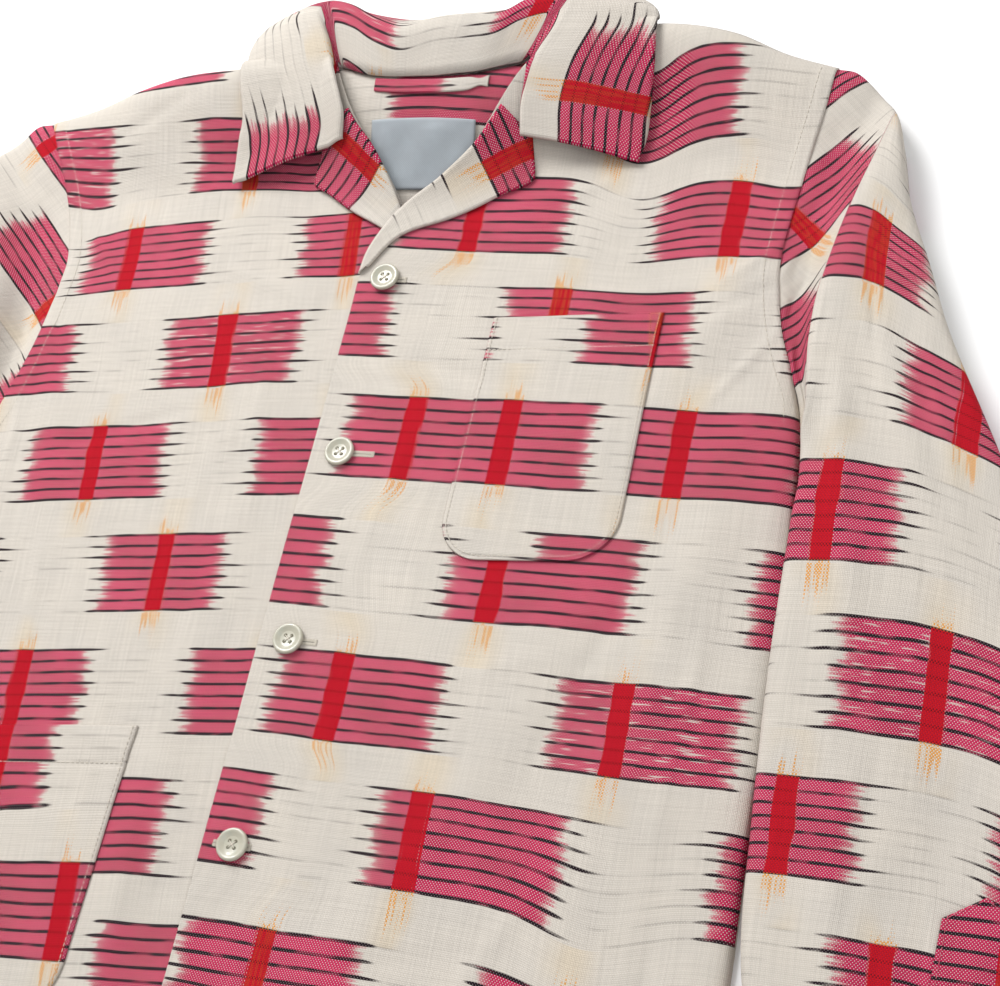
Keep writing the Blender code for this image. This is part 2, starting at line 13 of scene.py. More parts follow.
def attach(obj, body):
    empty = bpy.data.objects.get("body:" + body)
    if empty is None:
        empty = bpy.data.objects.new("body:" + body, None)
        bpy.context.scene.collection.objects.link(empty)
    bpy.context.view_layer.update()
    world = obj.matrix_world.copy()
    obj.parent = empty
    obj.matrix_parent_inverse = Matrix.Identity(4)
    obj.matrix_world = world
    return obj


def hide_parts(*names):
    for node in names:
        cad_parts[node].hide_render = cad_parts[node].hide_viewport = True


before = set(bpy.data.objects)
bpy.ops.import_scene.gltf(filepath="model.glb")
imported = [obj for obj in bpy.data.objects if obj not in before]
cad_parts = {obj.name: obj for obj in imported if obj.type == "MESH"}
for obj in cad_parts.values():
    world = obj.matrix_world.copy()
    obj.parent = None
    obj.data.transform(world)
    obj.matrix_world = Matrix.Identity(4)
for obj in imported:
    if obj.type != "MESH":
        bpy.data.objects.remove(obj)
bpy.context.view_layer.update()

MM = 0.001
CENTRE = np.array((-3.0, -180.5, 0.0))   # the middle of the garment, from the top button

# ---- the form, as the solids have it ---------------------------------------------------
WALL = 1.2
THICK_WALL = 1.5
GAP = 0.3
NECK_ROOM = 0.8
SLOPE_ROOM = 1.0
SEAM_TUCK = 1.5            # how far a sleeve's first ring goes under the body at the armhole
LAYER = WALL + GAP
LOFT = 5.3
FOLD_RADIUS = 15.0
HEM_Y = -564.0
FRONT_OVERLAP = 19.0
RISE_LENGTH = 85.0
CUFF_LENGTH = 60.0
CUFF_CROWN = 13.5
RECESS_END = 0.13
HEAD_HEIGHT = 17.0
RIDGE = 0.102              # where the sleeve's folded ridge stands, as a share of its length
BUTTON_PITCH = 116.0

# back's top edge, shoulder to shoulder through the neck: x, y, z
TOP_EDGE = (
    (-272, 115, 9), (-237, 123, 13), (-205, 134, 19), (-172, 141, 24), (-138, 143, 27),
    (-100, 146, 28), (-76, 150, 29), (-60, 142, 32), (-30, 133, 35), (6, 130, 36),
    (42, 134, 35), (70, 145, 32), (84, 158, 29), (110, 167, 28), (150, 172, 27),
    (190, 167, 23), (222, 155, 17), (252, 149, 11),
)
# a front's rows from the hem to the shoulder: t, inner x, inner y, outer x, outer y
FRONT_LEFT_ROWS = (
    (0.00, -19, -564, 270, -564), (0.30, -19, -330, 268, -330), (0.62, -19, -85, 261, -88),
    (0.70, -19, -42, 252, -52), (0.76, -19, -12, 241, -18), (0.80, -17, 12, 236, 17),
    (0.86, 1, 49, 238, 52), (0.91, 22, 69, 243, 90), (0.96, 46, 97, 249, 122),
    (1.00, 70, 145, 252, 149),
)
FRONT_RIGHT_ROWS = (
    (0.00, 19, -564, -266, -564), (0.30, 19, -340, -264, -345), (0.60, 19, -115, -261, -150),
    (0.68, 19, -64, -243, -112), (0.76, 19, -18, -228, -45), (0.80, 17, 6, -226, -6),
    (0.86, 1, 46, -230, 20), (0.91, -18, 77, -243, 56), (0.96, -42, 108, -258, 88),
    (1.00, -60, 142, -272, 115),
)
# a lapel's rows from the break to the neck: t, roll x, roll y, edge x, edge y
LAPEL_LEFT_ROWS = (
    (0.00, -18, 3, -14, 8), (0.15, -14, 20, 2, 29), (0.34, 1, 49, 31, 44),
    (0.52, 22, 69, 57, 60), (0.72, 42, 88, 78, 74), (0.86, 50, 99, 76, 86),
    (1.00, 57, 110, 74, 98),
)
LAPEL_RIGHT_ROWS = (
    (0.00, 5, 37, -3, 32), (0.20, -2, 48, -16, 40), (0.36, -12, 66, -36, 50),
    (0.52, -24, 84, -52, 60), (0.74, -37, 98, -65, 69), (0.88, -41, 103, -63, 80),
    (1.00, -44, 107, -60, 91),
)
# collar sections from the wearer's left end to the right: neck xyz, fold xyz, edge xyz
COLLAR_SECTIONS = (
    (70, 95, 22, 71, 95, 25, 142, 84, 12), (70, 108, 27, 70, 108, 32, 145, 104, 17),
    (70, 121, 31, 72, 124, 38, 145, 120, 22), (70, 133, 34, 76, 140, 43, 145, 136, 28),
    (70, 141, 35, 84, 157, 46, 144, 160, 33), (67, 145, 35.5, 90, 174, 48, 140, 180, 31),
    (59, 143, 36, 82, 181, 48, 122, 197, 22), (49, 140, 36.5, 64, 176, 49, 92, 203, 10),
    (36, 136, 37, 50, 167, 49, 58, 203, 5), (22, 134, 37.5, 32, 165, 49, 32, 201, 4),
    (6, 132.5, 37.5, 9, 163, 49, 6, 200, 4), (-12, 132.5, 37.5, -14, 157, 49, -22, 199, 4),
    (-30, 134, 37, -34, 164, 49, -50, 200, 5), (-44, 138, 36.5, -52, 175, 49, -80, 199, 10),
    (-53, 142, 36, -68, 180, 48, -103, 193, 20), (-59, 143, 35, -75, 172, 48, -119, 177, 29),
    (-60, 137, 34.5, -67, 155, 46, -126, 155, 32), (-58, 127, 33, -60, 138, 42, -124, 132, 29),
    (-52, 114, 29, -50, 115, 35, -119, 105, 22), (-47, 101, 25, -46, 101, 29, -121, 84, 16),
    (-47, 90, 22, -47, 90, 25, -121, 66, 12),
)
# armhole seams from the underarm to the shoulder tip: p, x, y
ARMHOLE_LEFT = (
    (0.00, 261, -86), (0.08, 258, -66), (0.17, 250, -46), (0.29, 241, -18), (0.44, 236, 17),
    (0.68, 240, 75), (0.88, 248, 121), (1.00, 252, 149),
)
ARMHOLE_RIGHT = (
    (0.00, -261, -150), (0.09, -256, -130), (0.17, -243, -112), (0.40, -228, -45),
    (0.54, -226, -6), (0.67, -230, 20), (0.80, -243, 56), (0.91, -258, 88), (1.00, -272, 115),
)
# sleeve rings from the armhole to the cuff: t, inner x, inner y, outer x, outer y, crown z
SLEEVE_LEFT_RINGS = (
    (0.00, 261.4, -86.4, 252.4, 149.4, 9), (0.03, 262.2, -88, 262, 146, 7),
    (0.06, 262.9, -90, 272, 138, 6), (0.085, 263.4, -92, 280, 129, 11),
    (0.10, 263.8, -94, 288, 118, 20), (0.14, 264.4, -97, 296, 92, 24),
    (0.20, 265, -102, 303, 58, 23), (0.28, 265.6, -110, 319, 14, 22),
    (0.36, 266.3, -122, 334, -28, 22), (0.46, 265.5, -144, 364, -93, 23),
    (0.56, 265.5, -180, 397, -168, 23), (0.66, 266, -228, 413, -240, 22),
    (0.78, 269, -300, 421, -320, 20), (0.90, 275, -372, 418, -392, 19),
    (1.00, 293, -430, 410, -437, 14),
)
SLEEVE_RIGHT_RINGS = (
    (0.00, -261.4, -150.4, -272.4, 115.4, 9), (0.03, -262.2, -152, -282, 112, 7),
    (0.06, -262.9, -154, -291, 104, 6), (0.085, -263.4, -156, -299, 96, 11),
    (0.10, -263.8, -158, -307, 85, 20), (0.14, -264.4, -161, -315, 60, 24),
    (0.20, -265, -166, -322, 26, 23), (0.28, -265.6, -174, -338, -18, 22),
    (0.36, -266.3, -186, -353, -60, 22), (0.46, -267.5, -208, -380, -125, 23),
    (0.56, -269, -238, -408, -200, 23), (0.66, -271, -278, -421, -270, 22),
    (0.78, -275, -340, -427, -345, 20), (0.90, -280, -404, -424, -414, 19),
    (1.00, -293, -456, -416, -459, 14),
)
# soft folds of the fronts: x, y, half length, half width, angle in degrees, height
FRONT_FOLDS = (
    (205, -20, 70, 16, 62, 3.0), (215, -190, 120, 17, 80, 2.6), (120, -300, 130, 22, 68, 2.0),
    (60, -470, 110, 20, 84, 2.2), (190, -440, 120, 18, 96, 2.4), (-205, -80, 80, 16, 108, 3.0),
    (-215, -250, 130, 18, 97, 2.4), (-60, -420, 130, 18, 88, 2.0), (-150, -500, 90, 18, 80, 2.0),
    (150, 95, 60, 16, 20, 2.2), (-150, 70, 60, 16, 158, 2.2),
)
# folds of a sleeve: t, p, half length in t, half width in p, height
SLEEVE_FOLDS = (
    (0.30, 0.30, 0.10, 0.10, 3.5), (0.42, 0.62, 0.12, 0.09, 3.0), (0.55, 0.25, 0.14, 0.09, 3.2),
    (0.70, 0.60, 0.14, 0.10, -3.0), (0.86, 0.30, 0.12, 0.10, 3.0), (0.92, 0.72, 0.10, 0.10, 2.6),
)
# pockets: centre x, top y at the centre, width, height, corner radius, slope of the top edge
CHEST_POCKET = (124.5, -20, 101, 154, 26, 0.07)
HIP_POCKET = (-152.0, -299, 152, 160, 30, 0.11)
POCKET_ROOM = 0.3
POCKET_HEM = 22.0
LABEL = (5.0, 85.0, 69.0, 38.0)
LOOP_ENDS = (-30.0, 45.0)
LOOP_HEIGHT = 9.0
COLLAR_STITCH_INSET = 5.5
PLACKET = (382.0, -324.0, 38.0, 106.0, 12.0)   # apex x, apex y, width, length, point

# fine creases of the fronts and the back: x, y, half length, half width, angle, height
CREASES = (
    (224, 20, 34, 3.0, 40, 0.9), (216, -8, 40, 3.5, 28, -0.8), (226, -48, 30, 3.0, 55, 0.8),
    (150, -5, 60, 5.0, 12, 0.6), (60, -60, 46, 5.0, 168, -0.6), (30, -160, 60, 4.5, 78, 0.7),
    (176, -215, 64, 5.0, 70, -0.7), (226, -255, 60, 4.5, 86, 0.9), (96, -245, 58, 6.0, 20, 0.6),
    (30, -300, 52, 5.0, 100, -0.6), (150, -380, 70, 6.0, 64, 0.8), (232, -400, 60, 5.0, 92, -0.8),
    (70, -400, 60, 5.5, 12, -0.5), (190, -510, 50, 5.0, 80, 0.8), (60, -530, 40, 5.0, 96, 0.7),
    (100, 60, 44, 4.0, 24, 0.6), (200, 110, 40, 4.0, 140, 0.7), (165, 140, 34, 3.5, 172, -0.6),
    (-205, 20, 36, 3.0, 128, 0.9), (-212, -50, 40, 3.5, 112, -0.8), (-222, -120, 44, 4.0, 96, 0.9),
    (-90, 0, 56, 5.0, 160, 0.6), (-60, -90, 50, 5.0, 98, 0.6), (-150, -110, 60, 5.0, 20, -0.6),
    (-170, -230, 60, 5.0, 100, 0.7), (-70, -210, 50, 5.0, 84, -0.6), (-220, -330, 60, 5.0, 88, 0.8),
    (-100, -300, 54, 5.5, 166, 0.5), (-60, -370, 50, 5.0, 96, 0.6), (-200, -520, 50, 5.0, 84, 0.8),
    (-110, 90, 40, 4.0, 150, 0.6), (-190, 110, 36, 4.0, 30, -0.7),
)
# fine creases of a sleeve: t, p, half length in t, half width in p, slope of p along t, height
SLEEVE_CREASES = (
    (0.030, 0.20, 0.030, 0.030, 3.0, 0.9), (0.045, 0.36, 0.035, 0.028, 3.4, -0.9),
    (0.040, 0.50, 0.035, 0.026, 3.0, 1.0), (0.050, 0.64, 0.035, 0.030, 2.6, -0.9),
    (0.040, 0.78, 0.030, 0.030, 2.0, 0.9), (0.150, 0.30, 0.050, 0.030, 1.2, 0.9),
    (0.230, 0.62, 0.070, 0.035, -0.9, -0.9), (0.330, 0.45, 0.080, 0.035, 1.0, 0.9),
    (0.430, 0.80, 0.080, 0.040, -0.8, 1.2), (0.520, 0.55, 0.080, 0.040, 0.7, -0.9),
    (0.620, 0.20, 0.090, 0.035, 0.6, 1.0), (0.680, 0.80, 0.090, 0.040, -0.5, 1.0),
    (0.800, 0.35, 0.080, 0.035, -0.4, -1.2), (0.860, 0.62, 0.080, 0.040, 0.8, 1.2),
    (0.930, 0.50, 0.060, 0.035, 0.2, 1.0),
)


def spline(t, table, column):
    """Smooth value of a table's column at t: cubic pieces with limited end slopes."""
    rows = np.array(table, float)
    knots, values = rows[:, 0], rows[:, column]
    slope = np.diff(values) / np.diff(knots)
    tangent = np.concatenate(([slope[0]], (slope[:-1] + slope[1:]) / 2, [slope[-1]]))
    turns = np.concatenate(([False], slope[:-1] * slope[1:] <= 0, [False]))
    tangent[turns] = 0.0
    t = np.clip(t, knots[0], knots[-1])
    i = np.clip(np.searchsorted(knots, t, side="right") - 1, 0, len(slope) - 1)
    step = (knots[1:] - knots[:-1])[i]
    f = (t - knots[i]) / step
    return ((1 + 2 * f) * (1 - f) ** 2 * values[i] + f * (1 - f) ** 2 * step * tangent[i]
            + f * f * (3 - 2 * f) * values[i + 1] + f * f * (f - 1) * step * tangent[i + 1])


def ease(value):
    """3v^2 - 2v^3 of a value held between 0 and 1."""
    v = np.clip(value, 0.0, 1.0)
    return v * v * (3 - 2 * v)


def quarter(distance, radius):
    """Quarter-circle rise from 0 at the edge to 1 at the radius."""
    q = np.clip(distance / radius, 0.0, 1.0)
    return np.sqrt(np.maximum(0.0, 1 - (1 - q) ** 2))


def hills(x, y, table):
    """Sum of soft ridges: height times exp(-(along / length)^2 - (across / width)^2)."""
    total = np.zeros(np.broadcast(x, y).shape)
    for cx, cy, length, width, angle, height in table:
        c, s = np.cos(np.radians(angle)), np.sin(np.radians(angle))
        along, across = (x - cx) * c + (y - cy) * s, (y - cy) * c - (x - cx) * s
        total = total + height * np.exp(-(along / length) ** 2 - (across / width) ** 2)
    return total


def ripple(x, y):
    """Shallow unevenness of cloth at rest: a few crossing sines of unequal length."""
    return (0.22 * np.sin(x / 17 + y / 43 + 1.1) + 0.20 * np.sin(x / 31 - y / 23)
            + 0.14 * np.sin(x / 9 + y / 14 + 2.3) + 0.10 * np.sin(x / 7.3 - y / 11 + 0.7))


def back_height(x, y):
    """Upper face of the back: flat on the surface, and lifted to the collar."""
    edge_y, edge_z = spline(x, TOP_EDGE, 1), spline(x, TOP_EDGE, 2)
    return WALL + (edge_z - WALL) * ease((y - edge_y + RISE_LENGTH) / RISE_LENGTH)


def front_height(x, y):
    """Upper face of a single front above the back, rounded down at its outer edges."""
    left_x = spline(y, [(r[4], r[3]) for r in FRONT_LEFT_ROWS], 1)
    right_x = -spline(y, [(r[4], r[3]) for r in FRONT_RIGHT_ROWS], 1)
    side_x = np.where(x > 0, left_x, right_x)
    underarm = np.where(x > 0, FRONT_LEFT_ROWS[2][4], FRONT_RIGHT_ROWS[2][4])
    seam = quarter(side_x - np.abs(x), FOLD_RADIUS)
    side = np.where(y < underarm, seam, seam + (1 - seam) * ease((y - underarm) / 60))
    shoulder = quarter(spline(x, TOP_EDGE, 1) - y, FOLD_RADIUS)
    hem = 0.45 + 0.55 * quarter(y - HEM_Y, 40.0)
    neck = 1 - 0.5 * np.exp(-((np.abs(x) - 66) ** 2 + (y - 140) ** 2) / 34.0 ** 2)
    away = ease((np.abs(x) - FRONT_OVERLAP - 10) / 30)
    fine = 1.6 * hills(x, y, CREASES) * ease((np.abs(x) - FRONT_OVERLAP - 4) / 12) + 0.8 * ripple(x, y)
    loft = (LOFT + (hills(x, y, FRONT_FOLDS)) * away + fine) * side * shoulder * hem * neck
    loft = loft + 0.6 * ease((10.5 - side_x + np.abs(x)) / 2) * ease((y - underarm) / 20) * shoulder
    slope_room = SLOPE_ROOM * ease((y - spline(x, TOP_EDGE, 1) + RISE_LENGTH) / RISE_LENGTH)
    return back_height(x, y) + LAYER + slope_room + loft


def over_height(x, y):
    """Upper face of the front that lies on top, raised where the other lapel is under it."""
    lapel_below = np.exp(-((x + 3) / 34.0) ** 2 - ((y - 38) / 38.0) ** 2)
    return front_height(x, y) + 4.5 * lapel_below


def under_height(x, y):
    """Upper face of the front beneath, lowered by a layer where the other covers it."""
    return front_height(x, y) - 2.0 * ease((x + 62) / 36) * ease((100 - y) / 50)


def left_lapel_height(x, y):
    return over_height(x, y) + LAYER


def right_lapel_height(x, y):
    return under_height(x, y) + LAYER + 1.0


def rounded(distance, radius=0.9):
    """How far a folded edge rounds down: the radius less a quarter circle."""
    return radius * (1 - quarter(distance, radius))


# ---- meshes --------------------------------------------------------------------------
def place(points):
    """Millimetres from the top button, as metres in the frame."""
    return (np.asarray(points, float) - CENTRE) * MM


def new_piece(name, mesh, finish, body="root"):
    mesh.materials.append(finish)
    piece = bpy.data.objects.new(name, mesh)
    bpy.context.scene.collection.objects.link(piece)
    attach(piece, body)
    return piece


def shell(name, points, cut, wall, finish, ring=False, flip=False):
    """Cloth: a grid of its outer face, its cut in the UV map, and Solidify for its thickness.

    A ring's last column joins its first, and its cut has one more column than its points.
    """
    rows, columns = points.shape[:2]
    around = columns if ring else columns - 1
    i, j = np.meshgrid(np.arange(rows - 1), np.arange(around), indexing="ij")
    k = (j + 1) % columns
    corners = np.stack([i * columns + j, i * columns + k, (i + 1) * columns + k, (i + 1) * columns + j], -1)
    wide = cut.shape[1]
    threads = np.stack([i * wide + j, i * wide + j + 1, (i + 1) * wide + j + 1, (i + 1) * wide + j], -1)
    corners, threads = corners.reshape(-1, 4), threads.reshape(-1, 4)
    if flip:
        corners, threads = corners[:, ::-1], threads[:, ::-1]
    mesh = bpy.data.meshes.new(name)
    mesh.from_pydata(place(points).reshape(-1, 3).tolist(), [], corners.tolist())
    layer = mesh.uv_layers.new(name="cut")
    layer.data.foreach_set("uv", (cut.reshape(-1, 2)[threads.reshape(-1)] * MM).ravel())
    mesh.shade_smooth()
    piece = new_piece(name, mesh, finish)
    solid = piece.modifiers.new("wall", "SOLIDIFY")
    solid.thickness = wall * MM
    solid.offset = -1.0
    return piece


def beads(name, centres, along, up, size, finish, sides=5):
    """Small threads with tapered ends: one grid of rings, turned and placed at each centre.

    centres, along and up are (n, 3); size is length, width and height in millimetres.
    """
    length, width, height = size
    s = np.linspace(0.12, np.pi - 0.12, 5)
    angle = np.arange(sides) * 2 * np.pi / sides
    ring = np.sqrt(np.clip(np.sin(s), 0, 1))
    px = np.repeat(-np.cos(s)[:, None] * length / 2, sides, 1)
    py = ring[:, None] * np.cos(angle)[None, :] * width / 2
    pz = ring[:, None] * np.sin(angle)[None, :] * height / 2
    unit = np.stack([px, py, pz], -1).reshape(-1, 3)
    along = along / np.linalg.norm(along, axis=1, keepdims=True)
    across = np.cross(up, along)
    across = across / np.linalg.norm(across, axis=1, keepdims=True)
    top = np.cross(along, across)
    frames = np.stack([along, across, top], 1)
    points = centres[:, None] + unit @ frames
    i, j = np.meshgrid(np.arange(4), np.arange(sides), indexing="ij")
    k = (j + 1) % sides
    faces = np.stack([i * sides + j, i * sides + k, (i + 1) * sides + k, (i + 1) * sides + j], -1)
    starts = np.arange(len(centres))[:, None, None] * len(unit)
    faces = (faces.reshape(1, -1, 4) + starts).reshape(-1, 4)
    mesh = bpy.data.meshes.new(name)
    mesh.from_pydata(place(points).reshape(-1, 3).tolist(), [], faces.tolist())
    mesh.shade_smooth()
    return new_piece(name, mesh, finish)


def lying(count):
    """The upward direction, once for each of a number of threads."""
    return np.tile((0.0, 0.0, 1.0), (count, 1))


def stitch_row(line, pitch):
    """Centres and directions of stitches, evenly spaced along a line of points."""
    step = np.linalg.norm(np.diff(line, axis=0), axis=1)
    run = np.concatenate([[0], np.cumsum(step)])
    count = max(2, int(run[-1] / pitch))
    at = (np.arange(count) + 0.5) * run[-1] / count
    centre = np.stack([np.interp(at, run, line[:, c]) for c in range(3)], -1)
    ahead = np.stack([np.interp(at + 0.5, run, line[:, c]) for c in range(3)], -1)
    behind = np.stack([np.interp(at - 0.5, run, line[:, c]) for c in range(3)], -1)
    return centre, ahead - behind


# ---- materials -----------------------------------------------------------------------
class Wire:
    """A material's output that takes part in sums as a number does."""

    def __init__(self, paint, socket):
        self.paint, self.socket = paint, socket

    def math(self, operation, *values, clamp=False):
        node = self.paint.node("ShaderNodeMath", operation=operation, use_clamp=clamp)
        for plug, value in zip(node.inputs, values):
            self.paint.join(value, plug)
        return Wire(self.paint, node.outputs[0])

    def __add__(self, other):
        return self.math("ADD", self, other)

    def __sub__(self, other):
        return self.math("SUBTRACT", self, other)

    def __rsub__(self, other):
        return self.math("SUBTRACT", other, self)

    def __mul__(self, other):
        return self.math("MULTIPLY", self, other)

    def __truediv__(self, other):
        return self.math("DIVIDE", self, other)

    __radd__ = __add__
    __rmul__ = __mul__

    def floor(self):
        return self.math("FLOOR", self)

    def round(self):
        return self.math("ROUND", self)

    def size(self):
        return self.math("ABSOLUTE", self)

    def sine(self):
        return self.math("SINE", self)

    def over(self, other):
        """1 where this is the greater, else 0."""
        return self.math("GREATER_THAN", self, other)

    def most(self, other):
        return self.math("MAXIMUM", self, other)

    def step(self, low, high):
        """Smooth step from 0 at low to 1 at high, which may lie either way round."""
        t = self.math("DIVIDE", self - low, high - low, clamp=True)
        return t * t * (3.0 - 2.0 * t)


class Paint:
    """A Principled material, and the few nodes that its patterns are made of."""

    def __init__(self, name, roughness, **constants):
        self.material = bpy.data.materials.new(name)
        self.material.use_nodes = True
        self.tree = self.material.node_tree
        self.shader = self.tree.nodes["Principled BSDF"]
        self.shader.inputs["Roughness"].default_value = roughness
        for socket, value in constants.items():
            self.shader.inputs[socket.replace("_", " ")].default_value = value

    def node(self, kind, **settings):
        node = self.tree.nodes.new(kind)
        for setting, value in settings.items():
            setattr(node, setting, value)
        return node

    def join(self, value, plug):
        if isinstance(value, Wire):
            self.tree.links.new(value.socket, plug)
        else:
            plug.default_value = value

    def cut(self):
        """The piece's cut in millimetres of cloth: along the weft, and along the warp."""
        parts = self.node("ShaderNodeSeparateXYZ")
        self.tree.links.new(self.node("ShaderNodeUVMap", uv_map="cut").outputs[0], parts.inputs[0])
        return Wire(self, parts.outputs[0]) / MM, Wire(self, parts.outputs[1]) / MM

    def spot(self):
        """Where a point is across the floor, in millimetres."""
        parts = self.node("ShaderNodeSeparateXYZ")
        self.tree.links.new(self.node("ShaderNodeTexCoord").outputs["Object"], parts.inputs[0])
        return Wire(self, parts.outputs[0]) / MM, Wire(self, parts.outputs[1]) / MM

    def place(self, x, y, z=0.0):
        node = self.node("ShaderNodeCombineXYZ")
        for plug, value in zip(node.inputs, (x, y, z)):
            self.join(value, plug)
        return Wire(self, node.outputs[0])

    def cloud(self, x, y, z=0.0, detail=1.0):
        """Soft noise from 0 to 1 with features about one unit across."""
        node = self.node("ShaderNodeTexNoise")
        node.inputs["Scale"].default_value = 1.0
        node.inputs["Detail"].default_value = detail
        self.join(self.place(x, y, z), node.inputs["Vector"])
        return Wire(self, node.outputs[0])

    def chance(self, x, y):
        """One random number from 0 to 1 for each whole x and y."""
        node = self.node("ShaderNodeTexWhiteNoise", noise_dimensions="2D")
        self.join(self.place(x + 0.5, y + 0.5), node.inputs["Vector"])
        return Wire(self, node.outputs[0])

    def lookup(self, row, rows):
        """The chart's four numbers for a row: a ramp of flat steps holds them as its colour."""
        ramp = self.node("ShaderNodeValToRGB")
        steps = ramp.color_ramp
        steps.interpolation = "CONSTANT"
        for number, values in enumerate(rows):
            step = steps.elements[number] if number < 2 else steps.elements.new(number / 32.0)
            step.position = number / 32.0
            step.color = [value / SPAN + 0.5 for value in (*values, REPEAT)[:4]]
        self.join((row - CHART_ROWS[0] + 0.5) / 32.0, ramp.inputs[0])
        parts = self.node("ShaderNodeSeparateXYZ")
        self.tree.links.new(ramp.outputs[0], parts.inputs[0])
        return [(Wire(self, socket) - 0.5) * SPAN for socket in (*parts.outputs, ramp.outputs[1])]

    def mix(self, first, second, share):
        """The first colour, turning into the second as share goes from 0 to 1."""
        node = self.node("ShaderNodeMix", data_type="RGBA")
        plugs = [s for s in node.inputs if s.type == "RGBA"]
        for plug, value in zip(plugs, (first, second)):
            self.join(value if isinstance(value, Wire) else (*value, 1.0), plug)
        self.join(share, node.inputs[0])
        return Wire(self, next(s for s in node.outputs if s.type == "RGBA"))

    def shade(self, colour, amount):
        """A colour made lighter or darker by a number."""
        node = self.node("ShaderNodeVectorMath", operation="SCALE")
        self.join(colour, node.inputs[0])
        self.join(amount, node.inputs["Scale"])
        return Wire(self, node.outputs[0])

    def relief(self, height, distance, strength=1.0):
        bump = self.node("ShaderNodeBump")
        bump.inputs["Distance"].default_value = distance * MM
        bump.inputs["Strength"].default_value = strength
        self.join(height, bump.inputs["Height"])
        self.tree.links.new(bump.outputs[0], self.shader.inputs["Normal"])

    def colour(self, wire):
        self.join(wire, self.shader.inputs["Base Color"])
        return self.material


# colours of the dye and the yarn, linear; one beige also stands in for shade
CREAM_WARP = (0.565, 0.535, 0.492)
CREAM_WEFT = (0.540, 0.500, 0.450)
PINK = (0.47, 0.022, 0.085)
PINK_DEEP = (0.37, 0.013, 0.060)
RED = (0.45, 0.005, 0.011)
RED_WEFT = (0.32, 0.006, 0.020)
RUST = (0.40, 0.075, 0.018)
BLACK = (0.012, 0.005, 0.009)
AMBER = (0.60, 0.27, 0.06)
# a beige of the dye's haze by the red bars, and of painted shade where the soft cloud tints the cream
DYE_HAZE_AND_SHADE_BEIGE = (0.58, 0.46, 0.29)
FLECK = (0.25, 0.17, 0.10)

# the dyed repeat, in millimetres of cloth
ROW_PITCH = 77.0       # rows of blocks, up the warp
BLOCK_HEIGHT = 51.0
REPEAT = 161.0         # blocks of one row, along the weft
LINES = 7              # gaps between the dark weft lines of a block
LINE_PITCH = BLOCK_HEIGHT / LINES
WARP_PITCH = 0.8
WEFT_PITCH = 0.9
BAR_WIDTH = 12.0

# Charts of the repeat for each cut: for even rows, odd rows and any row that
# differs, the left end of a block, its width, the middle of the red bar, and the row's own
# repeat where it isn't REPEAT.
CHARTS = {
    "left front": {
        "even": (0, 104, 38), "odd": (81, 106, 109, 171), 0: (-14, 100, 30), 1: (77, 102, 100, 178),
        2: (-1, 95, 34), 3: (85, 103, 110, 168), 5: (79, 113, 111, 171), 6: (-1, 106, 45),
        7: (95, 102, 126, 171),
    },
    "right front": {
        "even": (0, 92, 35), "odd": (81, 95, 119), 2: (5, 84, -51), 1: (72, 95, 110),
        0: (-2, 90, 30), -1: (74, 92, 116), -2: (-8, 96, 38), -3: (63, 79, 101), -4: (-25, 90, 21),
        -5: (40, 95, 78), -6: (-51, 96, 11), -7: (23, 95, 61), -8: (-67, 92, -32),
    },
    "chest pocket": {"even": (0, 105, 53), "odd": (88, 104, 132)},
    "hip pocket": {"even": (-39, 93, 21), "odd": (9, 95, 83), -6: (-42, 93, 18)},
    "sleeve": {
        "even": (222, 98, 285), "odd": (315, 100, 350), 0: (222, 98, 290), -3: (301, 112, 350),
        -5: (316, 100, 339),
    },
    "left hollow": {"even": (176, 84, 202), "odd": (96, 84, 122), 1: (96, 84, 171)},
    "right hollow": {"even": (158, 88, 172), "odd": (60, 85, 80), 1: (85, 90, 124)},
    "back": {"even": (0, 104, 84), "odd": (44, 104, 128)},
    "collar": {"even": (-42, 101, 24), "odd": (10, 104, 84)},
    "lapel": {"even": (0, 104, 37), "odd": (80, 104, 119)},
    "placket": {"even": (-30, 98, 12), "odd": (-30, 98, 12)},
}
CHART_ROWS = range(-12, 14)
SPAN = 512.0       # a chart's numbers are kept as shares of this, from -SPAN / 2 up


